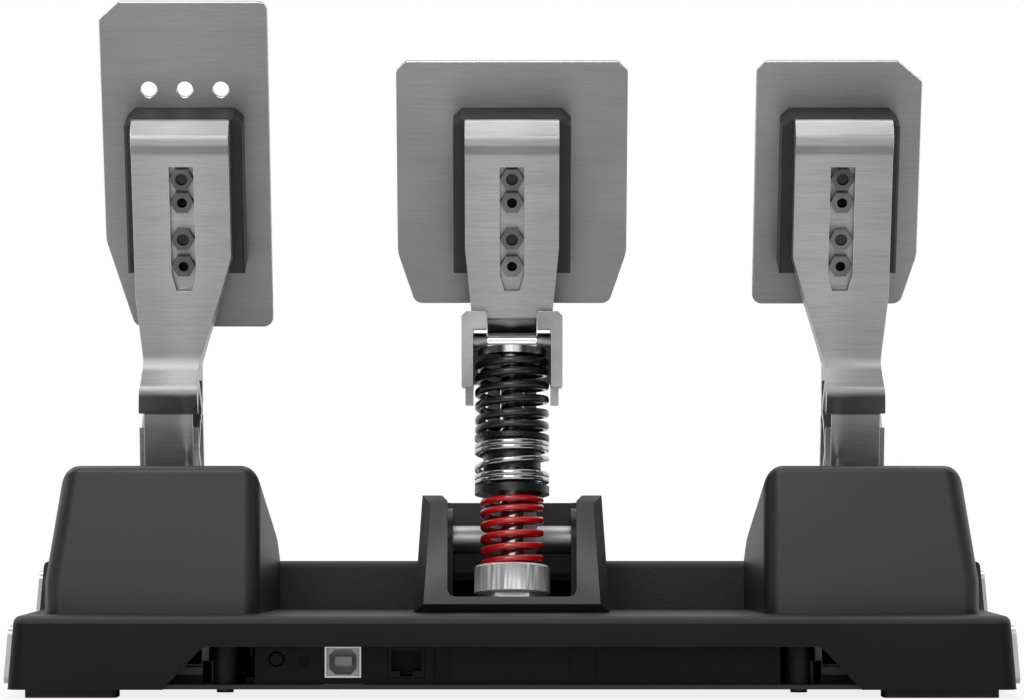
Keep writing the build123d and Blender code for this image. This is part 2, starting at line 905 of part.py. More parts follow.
with BuildPart() as throttle_bracket:
    cheek_foot = bracket_length / 2
    for side in (-1, 1):
        start = side_arm_half + cheek_gap
        with BuildSketch(Plane.YZ.offset(arm_x + side * start)):
            with BuildLine():
                Polyline(
                    (side_pivot_y - cheek_foot, plate_top),
                    (side_pivot_y - cheek_foot, bracket_foot_height),
                    (side_pivot_y - bracket_top_radius, bracket_neck),
                    (side_pivot_y - bracket_top_radius, side_pivot_z),
                    (side_pivot_y + bracket_top_radius, side_pivot_z),
                    (side_pivot_y + bracket_top_radius, bracket_neck),
                    (side_pivot_y + cheek_foot, bracket_foot_height),
                    (side_pivot_y + cheek_foot, plate_top),
                    close=True,
                )
            make_face()
            with Locations((side_pivot_y, side_pivot_z)):
                Circle(bracket_top_radius)
                Circle(axle_radius + fit_gap, mode=Mode.SUBTRACT)
        extrude(amount=side * bracket_sheet)
    with BuildSketch(Plane.XY.offset(plate_top)):
        with Locations((arm_x, side_pivot_y)):
            Rectangle(2 * axle_half, bracket_length)
            with Locations((0, -bolt_reach), (0, bolt_reach)):
                Circle(frame_bolt_radius + fit_gap, mode=Mode.SUBTRACT)
    extrude(amount=bracket_sheet)
save(throttle_bracket, "throttle_bracket")

with BuildPart() as clutch_bracket:
    mirror(throttle_bracket.part, about=Plane.YZ)
save(clutch_bracket, "clutch_bracket")

# Axle with a head beyond the return spring
with BuildPart() as throttle_axle:
    with BuildSketch(Plane.YZ.offset(arm_x - axle_half)):
        with Locations((side_pivot_y, side_pivot_z)):
            Circle(axle_radius)
    extrude(amount=2 * axle_half + return_spring_length + 2 * seat_gap)
    with BuildSketch(Plane.YZ.offset(arm_x + axle_half + return_spring_length + 2 * seat_gap)):
        with Locations((side_pivot_y, side_pivot_z)):
            Circle(axle_head_radius)
    extrude(amount=axle_head)
save(throttle_axle, "throttle_axle")

with BuildPart() as clutch_axle:
    mirror(throttle_axle.part, about=Plane.YZ)
save(clutch_axle, "clutch_axle")

# Torsion return springs, each a closed-wound coil sleeve on its axle
with BuildPart() as return_springs:
    with BuildSketch(Plane.YZ.offset(arm_x + axle_half + seat_gap)):
        with Locations((side_pivot_y, side_pivot_z)):
            Circle(return_spring_radius)
            Circle(axle_radius + small_gap, mode=Mode.SUBTRACT)
    extrude(amount=return_spring_length)
    mirror(about=Plane.YZ)
save(return_springs, "return_springs")

# Angle sensor boards on the outer cheeks, facing the magnets in the arms' hubs
with BuildPart() as angle_sensors:
    with BuildSketch(Plane.YZ.offset(arm_x - axle_half)):
        with Locations((side_pivot_y, side_pivot_z - magnet_drop)):
            Rectangle(sensor_width, sensor_height)
    extrude(amount=-board_thickness)
    mirror(about=Plane.YZ)
save(angle_sensors, "angle_sensors")

with BuildPart() as throttle_magnet:
    with BuildSketch(Plane.YZ.offset(arm_x - side_arm_half)):
        with Locations((side_pivot_y, side_pivot_z - magnet_drop)):
            Circle(magnet_radius)
    extrude(amount=magnet_length)
save(throttle_magnet, "throttle_magnet")

with BuildPart() as clutch_magnet:
    mirror(throttle_magnet.part, about=Plane.YZ)
save(clutch_magnet, "clutch_magnet")

# Plain bushing through the arm's hub
with BuildPart() as throttle_bushing:
    with BuildSketch(Plane.YZ.offset(arm_x - side_arm_half)):
        with Locations((side_pivot_y, side_pivot_z)):
            Circle(bushing_radius)
            Circle(axle_radius + running_gap, mode=Mode.SUBTRACT)
    extrude(amount=2 * side_arm_half)
save(throttle_bushing, "throttle_bushing")

with BuildPart() as clutch_bushing:
    mirror(throttle_bushing.part, about=Plane.YZ)
save(clutch_bushing, "clutch_bushing")


# Pedal arms: flat leaning head with a rolled lip, bent shank with truss pockets, and a hub

def arm_lip():
    """Rear points of the rolled lip at the head's top, from low to high."""
    return [
        head_point(0, lip_root),
        head_point(lip_bulge, lip_low),
        head_point(lip_bulge, lip_high),
        head_point(-lip_setback, arm_top),
        head_point(-arm_thickness, arm_top),
    ]


def truss_pockets(rear, front, levels):
    """Sketch triangular pockets between two side-view contours, split by zigzag ribs."""
    rear_side = [(level_y(rear, z) + pocket_rail, z) for z in levels]
    front_side = [(level_y(front, z) - pocket_rail, z) for z in levels]
    Polygon(*rear_side, *reversed(front_side), align=None)
    nodes = [(rear_side, front_side)[i % 2][i] for i in range(len(levels))]
    for (y0, z0), (y1, z1) in zip(nodes, nodes[1:]):
        reach = Vector(y1 - y0, z1 - z0).length
        with Locations(Location((y0 / 2 + y1 / 2, z0 / 2 + z1 / 2), degrees(atan2(z1 - z0, y1 - y0)))):
            Rectangle(reach + 2 * pocket_rail, pocket_rib, mode=Mode.SUBTRACT)


def nut_channel():
    """Sketch the milled channel with its narrowed foot."""
    Polygon(
        (-channel_width / 2, channel_top),
        (channel_width / 2, channel_top),
        (channel_width / 2, channel_shoulder),
        (channel_foot_width / 2, channel_bottom),
        (-channel_foot_width / 2, channel_bottom),
        (-channel_width / 2, channel_shoulder),
        align=None,
    )


side_rear = [
    (side_pivot_y - side_hub_radius, side_pivot_z),
    (block_foot_y, block_foot_z),
    (knee_in_y, knee_in_z),
    (knee_out_y, knee_out_z),
    head_point(0, head_height(knee_top)),
]
side_front = [
    (side_pivot_y + side_hub_radius, side_pivot_z),
    (front_foot_y, block_foot_z),
    (front_elbow_y, front_elbow_z),
    head_point(-arm_thickness, head_height(front_bend_z, -arm_thickness)),
]
with BuildPart() as throttle_arm:
    with BuildSketch(Plane.YZ.offset(arm_x)):
        with BuildLine():
            FilletPolyline(*side_rear, *arm_lip(), *reversed(side_front), radius=side_arm_rounds, close=True)
        make_face()
        with Locations((side_pivot_y, side_pivot_z)):
            Circle(side_hub_radius)
    extrude(amount=side_arm_half + side_arm_top_inner, both=True)
    with BuildSketch(Plane.XZ):
        with BuildLine():
            Polyline(
                (arm_x - side_arm_half, foot_height),
                (arm_x - side_arm_half, knee_in_z),
                (arm_x - side_arm_outer_waist, side_arm_waist),
                (arm_x - side_arm_half, side_arm_shoulder),
                (arm_x - side_arm_half, head_z + arm_top),
                (arm_x + side_arm_top_inner, head_z + arm_top),
                (arm_x + side_arm_top_inner, side_arm_taper_top),
                (arm_x + side_arm_shoulder_inner, side_arm_shoulder),
                (arm_x + side_arm_inner_waist, side_arm_waist),
                (arm_x + side_arm_half, knee_in_z),
                (arm_x + side_arm_half, foot_height),
                close=True,
            )
        make_face()
        soft = [v for v in vertices() if knee_in_z - match < v.Z < head_z]
        fillet(soft, radius=arm_soft_round)
    extrude(amount=base_depth, both=True, mode=Mode.INTERSECT)
    # Lightening pockets in both sides leave an H section
    for side in (-1, 1):
        with BuildSketch(Plane.YZ.offset(arm_x + side * (side_arm_half - pocket_depth))):
            truss_pockets(side_rear, side_front, side_truss_levels)
        extrude(amount=side * (pocket_depth + overrun), mode=Mode.SUBTRACT)
        # The shank's rear block stands proud of its two rails
        with BuildSketch(Plane.YZ.offset(arm_x + side * (side_arm_half - rail_width))):
            with BuildLine():
                Polyline(
                    (block_foot_y - overrun, block_foot_z),
                    (knee_in_y - overrun, knee_in_z),
                    (knee_in_y + rail_step, knee_in_z),
                    (block_foot_y + rail_step, block_foot_z),
                    close=True,
                )
            make_face()
        extrude(amount=side * (rail_width + overrun), mode=Mode.SUBTRACT)
    with BuildSketch(head_plane(-pedal_pitch)):
        nut_channel()
    extrude(amount=-channel_depth, mode=Mode.SUBTRACT)
    with BuildSketch(head_plane(-pedal_pitch)):
        with Locations(*[(0, h) for h in nut_heights]):
            Circle(screw_radius + screw_hole_gap)
    extrude(amount=-arm_thickness - overrun, mode=Mode.SUBTRACT)
    with BuildSketch(Plane.YZ.offset(arm_x)):
        with Locations((side_pivot_y, side_pivot_z)):
            Circle(bushing_radius + fit_gap)
    extrude(amount=side_arm_half, both=True, mode=Mode.SUBTRACT)
    with BuildSketch(Plane.YZ.offset(arm_x - side_arm_half)):
        with Locations((side_pivot_y, side_pivot_z - magnet_drop)):
            Circle(magnet_radius + fit_gap)
    extrude(amount=magnet_length + fit_gap, mode=Mode.SUBTRACT)
save(throttle_arm, "throttle_arm")
print("side arm", throttle_arm.part.is_valid, len(throttle_arm.solids()))

with BuildPart() as clutch_arm:
    mirror(throttle_arm.part, about=Plane.YZ)
save(clutch_arm, "clutch_arm")

# Brake arm: the same head, then a jog forward round the strut down to its own hub
brake_rear = [
    (brake_pivot_y - brake_hub_radius, brake_pivot_z),
    (brake_rear_foot_y, block_foot_z),
    (brake_rear_top_y, clevis_pin_z),
]
brake_front = [
    (brake_pivot_y + brake_hub_radius, brake_pivot_z),
    (brake_front_foot_y, block_foot_z),
    (brake_front_waist_y, brake_front_waist_z),
    (brake_front_elbow_y, brake_front_elbow_z),
    head_point(-arm_thickness, brake_front_head),
]
brake_under = [
    (brake_under_y, brake_under_z - brake_under_drop),
    head_point(0, head_height(brake_under_z)),
]
with BuildPart() as brake_arm:
    with BuildSketch(Plane.YZ):
        with BuildLine():
            FilletPolyline(
                *brake_rear, *brake_under, *arm_lip(), *reversed(brake_front),
                radius=brake_arm_rounds, close=True,
            )
        make_face()
        with Locations((brake_pivot_y, brake_pivot_z)):
            Circle(brake_hub_radius)
    extrude(amount=brake_arm_top_half, both=True)
    with BuildSketch(Plane.XZ):
        with BuildLine():
            Polyline(
                (0, foot_height),
                (brake_arm_half, foot_height),
                (brake_arm_half, brake_arm_shoulder),
                (brake_arm_shoulder_half, brake_arm_shoulder),
                (brake_arm_top_half, brake_arm_taper_top),
                (brake_arm_top_half, head_z + arm_top),
                (0, head_z + arm_top),
                close=True,
            )
        make_face()
        mirror(about=Plane.YZ)
    extrude(amount=base_depth, both=True, mode=Mode.INTERSECT)
    for side in (-1, 1):
        with BuildSketch(Plane.YZ.offset(side * (brake_arm_half - pocket_depth))):
            truss_pockets(brake_rear, brake_front, brake_truss_levels)
        extrude(amount=side * (pocket_depth + overrun), mode=Mode.SUBTRACT)
    with BuildSketch(head_plane(0)):
        nut_channel()
    extrude(amount=-channel_depth, mode=Mode.SUBTRACT)
    with BuildSketch(head_plane(0)):
        with Locations(*[(0, h) for h in nut_heights]):
            Circle(screw_radius + screw_hole_gap)
    extrude(amount=-arm_thickness - overrun, mode=Mode.SUBTRACT)
    with BuildSketch(Plane.YZ):
        with Locations((brake_pivot_y, brake_pivot_z)):
            Circle(bushing_radius + fit_gap)
        with Locations(*[(ear_bolt_y, z) for z in ear_bolt_heights]):
            Circle(cross_pin_radius + fit_gap)
    extrude(amount=brake_arm_half, both=True, mode=Mode.SUBTRACT)
save(brake_arm, "brake_arm")
print("brake arm", brake_arm.part.is_valid, len(brake_arm.solids()))

with BuildPart() as brake_bushing:
    with BuildSketch(Plane.YZ):
        with Locations((brake_pivot_y, brake_pivot_z)):
            Circle(bushing_radius)
            Circle(axle_radius + running_gap, mode=Mode.SUBTRACT)
    extrude(amount=brake_arm_half, both=True)
save(brake_bushing, "brake_bushing")

# Brake bracket: two tall cheeks on one strap that also lifts the load cell
cheek_outer = brake_cheek_inner + brake_cheek_sheet
with BuildPart() as brake_bracket:
    for side in (-1, 1):
        with BuildSketch(Plane.YZ.offset(side * brake_cheek_inner)):
            with BuildLine():
                Polyline(
                    (brake_bracket_rear, plate_top),
                    (brake_pivot_y - brake_bracket_radius, brake_pivot_z),
                    (brake_pivot_y + brake_bracket_radius, brake_pivot_z),
                    (brake_bracket_front, plate_top),
                    close=True,
                )
            make_face()
            with Locations((brake_pivot_y, brake_pivot_z)):
                Circle(brake_bracket_radius)
                Circle(axle_radius + fit_gap, mode=Mode.SUBTRACT)
        extrude(amount=side * brake_cheek_sheet)
    with BuildSketch(Plane.XY.offset(plate_top)):
        with Locations((0, (brake_strap_rear + brake_strap_front) / 2)):
            Rectangle(2 * cheek_outer, brake_strap_front - brake_strap_rear)
        with Locations(*[(0, y) for y in cell_bolt_rows]):
            Circle(frame_bolt_radius + fit_gap, mode=Mode.SUBTRACT)
    extrude(amount=bracket_sheet)
save(brake_bracket, "brake_bracket")

with BuildPart() as brake_axle:
    with BuildSketch(Plane.YZ):
        with Locations((brake_pivot_y, brake_pivot_z)):
            Circle(axle_radius)
    extrude(amount=cheek_outer, both=True)
save(brake_axle, "brake_axle")

# Turned sleeves that space the brake arm's hub from the cheeks
with BuildPart() as axle_sleeves:
    with BuildSketch(Plane.YZ.offset(brake_arm_half + cheek_gap)):
        with Locations((brake_pivot_y, brake_pivot_z)):
            Circle(sleeve_radius)
            Circle(axle_radius + fit_gap, mode=Mode.SUBTRACT)
    extrude(amount=brake_cheek_inner - brake_arm_half - cheek_gap)
    mirror(about=Plane.YZ)
save(axle_sleeves, "axle_sleeves")

# Load cell: a bending bar with a double hole, bolted at its front end
with BuildPart() as load_cell:
    with BuildSketch(Plane.YZ):
        with BuildLine():
            Polyline(
                (cell_rear_y, cell_bottom),
                (cell_rear_y, cell_bottom + cell_side),
                (cell_rear_y + cell_length, cell_bottom + cell_side),
                (cell_rear_y + cell_length, cell_bottom),
                close=True,
            )
        make_face()
        with Locations((cell_rear_y + cell_length / 2, strut_foot_z)):
            with Locations((-cell_hole_pitch / 2, 0), (cell_hole_pitch / 2, 0)):
                Circle(cell_hole_radius, mode=Mode.SUBTRACT)
            Rectangle(cell_hole_pitch, cell_hole_radius, mode=Mode.SUBTRACT)
        with Locations((strut_foot_y, strut_foot_z)):
            Circle(foot_pin_radius + fit_gap, mode=Mode.SUBTRACT)
    extrude(amount=cell_side / 2, both=True)
    with BuildSketch(Plane.XY.offset(cell_bottom)):
        with Locations(*[(0, y) for y in cell_bolt_rows]):
            Circle(frame_bolt_radius + fit_gap)
    extrude(amount=foot_height + frame_bolt_length - cell_bottom + small_gap, mode=Mode.SUBTRACT)
save(load_cell, "load_cell")

with BuildPart() as strut_foot_pin:
    with BuildSketch(Plane.YZ):
        with Locations((strut_foot_y, strut_foot_z)):
            Circle(foot_pin_radius)
    extrude(amount=fork_outer, both=True)
save(strut_foot_pin, "strut_foot_pin")

# Clevis ears: two side plates that carry the strut's pin under the brake arm's head
with BuildPart() as clevis_ears:
    with BuildSketch(Plane.YZ.offset(ear_inner)):
        with BuildLine():
            Polyline(
                (ear_rear_y, ear_bottom),
                (ear_rear_y, ear_top),
                (ear_pad_rear_y, ear_top),
                (ear_front_y, ear_pad_top),
                (ear_front_y, ear_pad_bottom),
                (ear_pad_rear_y, ear_bottom),
                close=True,
            )
        make_face()
    extrude(amount=ear_outer - ear_inner)
    with BuildSketch(Plane.YZ.offset(ear_inner)):
        with Locations((clevis_pin_y, (ear_bottom + ear_tab_bottom) / 2)):
            Rectangle(2 * ear_tab_half, ear_bottom - ear_tab_bottom)
    extrude(amount=ear_tab_outer - ear_inner)
    with BuildSketch(Plane.YZ.offset(brake_arm_half + small_gap)):
        with Locations(((ear_rear_y + ear_block_front_y) / 2, (ear_block_bottom + ear_top) / 2)):
            Rectangle(ear_block_front_y - ear_rear_y, ear_top - ear_block_bottom)
    extrude(amount=ear_outer - brake_arm_half - small_gap)
    with BuildSketch(Plane.YZ.offset(barrel_half + cheek_gap)):
        with Locations((clevis_pin_y, clevis_pin_z)):
            Circle(ear_boss_radius)
    extrude(amount=ear_inner - barrel_half - cheek_gap)
    with BuildSketch(Plane.YZ.offset(brake_arm_half)):
        with Locations(((ear_pad_rear_y + ear_front_y) / 2, (ear_pad_bottom + ear_pad_top) / 2)):
            Rectangle(ear_front_y - ear_pad_rear_y, ear_pad_top - ear_pad_bottom)
    extrude(amount=ear_inner - brake_arm_half)
    crest = [
        e for e in clevis_ears.edges().filter_by(Axis.Y)
        if abs(e.center().X - ear_outer) < match and abs(e.center().Z - ear_top) < match
    ]
    chamfer(crest, length=ear_chamfer)
    with BuildSketch(Plane.YZ):
        with Locations((clevis_pin_y, clevis_pin_z), *[(ear_bolt_y, z) for z in ear_bolt_heights]):
            Circle(cross_pin_radius + fit_gap)
    extrude(amount=ear_outer, mode=Mode.SUBTRACT)
    mirror(about=Plane.YZ)
save(clevis_ears, "clevis_ears")

# Cross pins: the strut's clevis pin and the two that hold the ears to the arm
with BuildPart() as cross_pins:
    with BuildSketch(Plane.YZ):
        with Locations((clevis_pin_y, clevis_pin_z), *[(ear_bolt_y, z) for z in ear_bolt_heights]):
            Circle(cross_pin_radius)
    extrude(amount=ear_outer, both=True)
save(cross_pins, "cross_pins")


# Pedal heads: spacer block, face plate, screws and nuts on each arm

pedals = {"throttle": -pedal_pitch, "brake": 0.0, "clutch": pedal_pitch}
rearward = Axis((0, 0, 0), (0, -cos(lean), -sin(lean)))
spacer_half = spacer_width / 2
for pedal, x in pedals.items():
    with BuildPart() as spacer:
        with BuildSketch(head_plane(x, spacer_plane)):
            with BuildLine():
                Polyline(
                    (-spacer_half, spacer_bottom),
                    (-spacer_half, spacer_top - spacer_chamfer),
                    (-spacer_half + spacer_chamfer, spacer_top),
                    (spacer_half - spacer_chamfer, spacer_top),
                    (spacer_half, spacer_top - spacer_chamfer),
                    (spacer_half, spacer_bottom),
                    close=True,
                )
            make_face()
        extrude(amount=-spacer_thickness)
        chamfer(spacer.faces().sort_by(rearward)[-1].edges(), length=spacer_bevel)
        with BuildSketch(head_plane(x, spacer_plane)):
            with Locations(*[(0, h) for h in used_nuts]):
                Circle(screw_radius + screw_hole_gap)
        extrude(amount=-spacer_thickness, mode=Mode.SUBTRACT)
    save(spacer, f"{pedal}_spacer")

# Each face plate's corners as seen from the rear, the corner rounds and the rows of holes
throttle_corners = [
    (-throttle_plate_half + throttle_plate_corner_x, throttle_plate_top),
    (throttle_plate_half, throttle_plate_top),
    (throttle_plate_half, throttle_plate_bottom),
    (-throttle_plate_half + throttle_plate_slant_x, throttle_plate_bottom),
    (-throttle_plate_half, throttle_plate_slant_top),
    (-throttle_plate_half, throttle_plate_top - throttle_plate_corner_h),
]
brake_corners = [
    (-brake_plate_half + brake_plate_corner, brake_plate_top),
    (brake_plate_half - brake_plate_corner, brake_plate_top),
    (brake_plate_half, brake_plate_top - brake_plate_corner),
    (brake_plate_half, brake_plate_slant_top),
    (brake_plate_half - brake_plate_slant_x, brake_plate_bottom),
    (-brake_plate_half + brake_plate_slant_x, brake_plate_bottom),
    (-brake_plate_half, brake_plate_slant_top),
    (-brake_plate_half, brake_plate_top - brake_plate_corner),
]
clutch_corners = [
    (-clutch_plate_half + clutch_plate_small_corner, clutch_plate_top),
    (clutch_plate_half - clutch_plate_corner_x, clutch_plate_top),
    (clutch_plate_half, clutch_plate_top - clutch_plate_corner_h),
    (clutch_plate_half, clutch_plate_slant_top),
    (clutch_plate_half - clutch_plate_slant_x, clutch_plate_bottom),
    (-clutch_plate_half, clutch_plate_bottom),
    (-clutch_plate_half, clutch_plate_top - clutch_plate_small_corner),
]
tight = plate_soft_corner
firm = plate_corner_round
soft = plate_soft_round
plate_outlines = {
    "throttle": (throttle_corners, (tight, firm, firm, firm, soft, tight), (throttle_hole_row, *used_nuts)),
    "brake": (brake_corners, (tight, tight, tight, soft, firm, firm, soft, tight), used_nuts),
    "clutch": (clutch_corners, (tight, tight, tight, soft, firm, firm, tight), used_nuts),
}
for pedal, (corners, rounds, rows) in plate_outlines.items():
    with BuildPart() as face_plate:
        with BuildSketch(head_plane(pedals[pedal], plate_plane)):
            with BuildLine():
                FilletPolyline(*corners, radius=rounds, close=True)
            make_face()
            with Locations(*[(column * plate_hole_pitch, h) for column in (-1, 0, 1) for h in rows]):
                Circle(plate_hole_radius, mode=Mode.SUBTRACT)
        extrude(amount=-face_plate_thickness)
    save(face_plate, f"{pedal}_plate")

for pedal, x in pedals.items():
    used_places = [(0, h) for h in used_nuts]
    with BuildPart() as screws:
        with BuildSketch(head_plane(x, -screw_end_depth)):
            with Locations(*used_places):
                Circle(screw_radius)
        extrude(amount=plate_front + screw_end_depth)
        with BuildSketch(head_plane(x, plate_front)):
            with Locations(*used_places):
                Circle(screw_head_radius)
        extrude(amount=-screw_head_height)
        with BuildSketch(head_plane(x, plate_front - screw_head_height)):
            with Locations(*used_places):
                RegularPolygon(screw_socket_flats / 2, 6, major_radius=False)
        extrude(amount=screw_socket_depth, mode=Mode.SUBTRACT)
    save(screws, f"{pedal}_screws")
    with BuildPart() as nuts:
        with BuildSketch(head_plane(x, -channel_depth)):
            with Locations(*[(0, h) for h in nut_heights]):
                RegularPolygon(nut_flats / 2, 6, major_radius=False)
            with Locations(*used_places):
                Circle(screw_radius + fit_gap, mode=Mode.SUBTRACT)
            with Locations(*[(0, h) for h in spare_nuts]):
                Circle(nut_bore, mode=Mode.SUBTRACT)
        extrude(amount=nut_thickness)
    save(nuts, f"{pedal}_nuts")


# Spring strut: a cup on a fork, a rod with its seat, two sliding guides and three springs

with BuildPart() as spring_cup:
    with BuildSketch(strut_plane(cup_bottom)):
        Circle(cup_radius)
    extrude(amount=cup_rim - cup_bottom)
    chamfer(spring_cup.edges().filter_by(GeomType.CIRCLE), length=cup_chamfer)
    with BuildSketch(strut_plane(cup_floor)):
        Circle(cup_bore)
    extrude(amount=cup_rim - cup_floor, mode=Mode.SUBTRACT)
    with BuildSketch(strut_plane(fork_top)):
        RegularPolygon(neck_flats / 2, 6, major_radius=False)
    extrude(amount=cup_bottom - fork_top)
    for side in (-1, 1):
        with BuildSketch(Plane.YZ.offset(side * fork_inner)):
            Polygon(
                strut_point(-fork_eye_radius, 0),
                strut_point(-fork_eye_radius, fork_top),
                strut_point(fork_eye_radius, fork_top),
                strut_point(fork_eye_radius, 0),
                align=None,
            )
            with Locations((strut_foot_y, strut_foot_z)):
                Circle(fork_eye_radius)
                Circle(foot_pin_radius + running_gap, mode=Mode.SUBTRACT)
        extrude(amount=side * fork_sheet)
    with BuildSketch(strut_plane(rod_bore_end)):
        Circle(rod_radius + slide_gap)
    extrude(amount=cup_floor - rod_bore_end, mode=Mode.SUBTRACT)
save(spring_cup, "spring_cup")
print("cup", spring_cup.part.is_valid, len(spring_cup.solids()))

with BuildPart() as strut_head:
    with BuildSketch(strut_plane(rod_end)):
        Circle(rod_radius)
    extrude(amount=seat_base - rod_end)
    with BuildSketch(strut_plane(seat_base)):
        Circle(seat_radius)
    extrude(amount=seat_thickness)
    with BuildSketch(Plane.YZ):
        Polygon(
            strut_point(-saddle_half, seat_base),
            strut_point(-saddle_half, strut_length),
            strut_point(saddle_half, strut_length),
            strut_point(saddle_half, seat_base),
            align=None,
        )
        with Locations((clevis_pin_y, clevis_pin_z)):
            Circle(barrel_radius)
            Circle(cross_pin_radius + open_pivot_gap, mode=Mode.SUBTRACT)
    extrude(amount=barrel_half, both=True)
save(strut_head, "strut_head")

with BuildPart() as lower_guide:
    with BuildSketch(strut_plane(lower_guide_base)):
        Circle(guide_flange_radius)
    extrude(amount=lower_guide_flange)
    with BuildSketch(strut_plane(lower_guide_top)):
        Circle(lower_guide_spigot_radius)
    extrude(amount=lower_guide_spigot)
    with BuildSketch(strut_plane(lower_guide_base)):
        Circle(rod_radius + slide_gap)
    extrude(amount=lower_guide_flange + lower_guide_spigot, mode=Mode.SUBTRACT)
save(lower_guide, "lower_guide")

with BuildPart() as upper_guide:
    with BuildSketch(strut_plane(upper_guide_base)):
        Circle(guide_flange_radius)
    extrude(amount=upper_guide_flange)
    with BuildSketch(strut_plane(upper_guide_base)):
        Circle(upper_guide_spigot_radius)
    extrude(amount=-upper_guide_spigot)
    with BuildSketch(strut_plane(upper_guide_top)):
        Circle(rod_radius + slide_gap)
    extrude(amount=-upper_guide_flange - upper_guide_spigot, mode=Mode.SUBTRACT)
save(upper_guide, "upper_guide")


# Compression springs: unbroken right-handed wires on biarcs of a quarter turn

def coil_rise(height, wire, turns, closed):
    """Level and slope per turn at every quarter turn, close-wound at both ends."""
    quarters = round(4 * turns)
    first = 4 * closed + 1
    last = quarters - 4 * closed - 1
    close_pitch = wire + closed_turn_gap
    active = last - first + 1
    open_pitch = (4 * height - close_pitch * (quarters - active)) / active
    slopes = [open_pitch if first <= i <= last else close_pitch for i in range(quarters + 1)]
    levels = [0.0]
    for below, above in zip(slopes, slopes[1:]):
        levels.append(levels[-1] + (below + above) / 8)
    return levels, slopes


def coil_points(station, radius, levels, slopes):
    """Points of the wire's centre line and its unit tangents."""
    base = strut_plane(station)
    points = []
    tangents = []
    for i, (level, slope) in enumerate(zip(levels, slopes)):
        angle = i * pi / 2
        points.append(
            base.origin + base.x_dir * radius * cos(angle) + base.y_dir * radius * sin(angle) + base.z_dir * level
        )
        run = base.y_dir * radius * cos(angle) - base.x_dir * radius * sin(angle)
        tangents.append((run + base.z_dir * slope / (2 * pi)).normalized())
    return points, tangents


def least_gap(radius, wire, levels):
    """Smallest clear distance between one turn of the wire and the next."""
    gaps = []
    for i in range((len(levels) - 5) * gap_samples):
        place = i / gap_samples
        low = levels[int(place)] + (levels[int(place) + 1] - levels[int(place)]) * (place % 1)
        high = levels[int(place) + 4] + (levels[int(place) + 5] - levels[int(place) + 4]) * (place % 1)
        lean_of_wire = atan2(high - low, 2 * pi * radius)
        gaps.append((high - low) * cos(lean_of_wire) - wire)
    return min(gaps)


springs = {
    "black_spring": (upper_guide_top, seat_base, black_coil_radius, black_wire, black_turns, black_closed),
    "silver_spring": (lower_guide_top, upper_guide_base, silver_coil_radius, silver_wire, silver_turns, silver_closed),
    "red_spring": (cup_floor, lower_guide_base, red_coil_radius, red_wire, red_turns, red_closed),
}
for name, (start, end, outer, wire, turns, closed) in springs.items():
    coil_radius = outer - wire / 2
    coil_start = start + seat_gap + wire / 2
    levels, slopes = coil_rise(end - start - 2 * seat_gap - wire, wire, turns, closed)
    points, tangents = coil_points(coil_start, coil_radius, levels, slopes)
    with BuildPart() as spring:
        with BuildLine():
            for p0, p1, t0, t1 in zip(points, points[1:], tangents, tangents[1:]):
                chord = p1 - p0
                lead = chord.dot(t0 + t1)
                bend = 2 * (1 - t0.dot(t1))
                reach = ((lead**2 + bend * chord.dot(chord)) ** 0.5 - lead) / bend
                middle = (p0 + t0 * reach + p1 - t1 * reach) / 2
                TangentArc(p0, middle, tangent=t0)
                TangentArc(middle, p1, tangent=chord - (t0 + t1) * reach)
        with BuildSketch(Plane(origin=points[0], z_dir=tangents[0])):
            Circle(wire / 2)
        sweep()
    save(spring, name)
    print(name, spring.part.is_valid, len(spring.solids()), "least gap", round(least_gap(coil_radius, wire, levels), 2))


# Sockets, button and lamp in the rear recess

def box_sketch(left, right, bottom, top):
    """Sketch an upright rectangle between its edges, adding it."""
    Polygon((left, bottom), (left, top), (right, top), (right, bottom), align=None)


def socket_outline(x, z, width, height, grow=0.0):
    """Edges of a rectangle round a socket's middle."""
    half = width / 2 + grow
    rise = height / 2 + grow
    return (x - half, x + half, z - rise, z + rise)


def rear_plane(y):
    """Upright plane facing the rear."""
    return Plane.XZ.offset(-y)


rj_z = board_top + rj_height / 2
usb_hole = socket_outline(usb_x, usb_z, usb_width, usb_height, small_gap)
rj_hole = socket_outline(rj_x, rj_z, rj_width, rj_height, small_gap)
with BuildPart() as port_panel:
    with BuildSketch(rear_plane(panel_y)):
        box_sketch(panel_left, panel_right, plate_top, panel_top)
    extrude(amount=-panel_sheet)
    with BuildSketch(rear_plane(panel_y)):
        for start, width in zip(panel_gap_starts, panel_gap_widths):
            box_sketch(panel_left + start, panel_left + start + width, plate_top, panel_top)
    extrude(amount=-panel_gap_depth, mode=Mode.SUBTRACT)
    with BuildSketch(rear_plane(panel_y)):
        box_sketch(*usb_hole)
        box_sketch(*rj_hole)
        with Locations((button_x, button_z)):
            Circle(button_radius + cheek_gap)
        with Locations((led_x, led_z)):
            Circle(led_radius + fit_gap)
    extrude(amount=-panel_sheet, mode=Mode.SUBTRACT)
save(port_panel, "port_panel")

# Main board with the push switch behind the button and one chip
button_rest = panel_y - button_proud
switch_y = button_rest + button_length + button_travel + cheek_gap
board_rear = panel_y + panel_sheet + board_lift
with BuildPart() as main_board:
    with BuildSketch(Plane.XY.offset(board_bottom)):
        with Locations((panel_left - board_margin + board_width / 2, board_rear + board_depth / 2)):
            Rectangle(board_width, board_depth)
    extrude(amount=board_thickness)
    with BuildSketch(Plane.XY.offset(board_top)):
        with Locations((button_x, switch_y + switch_depth / 2)):
            Rectangle(switch_side, switch_depth)
    extrude(amount=switch_top - board_top)
    with BuildSketch(Plane.XY.offset(board_top)):
        with Locations((button_x, board_rear + board_depth - chip_inset)):
            Rectangle(chip_side, chip_side)
    extrude(amount=chip_height)
save(main_board, "main_board")

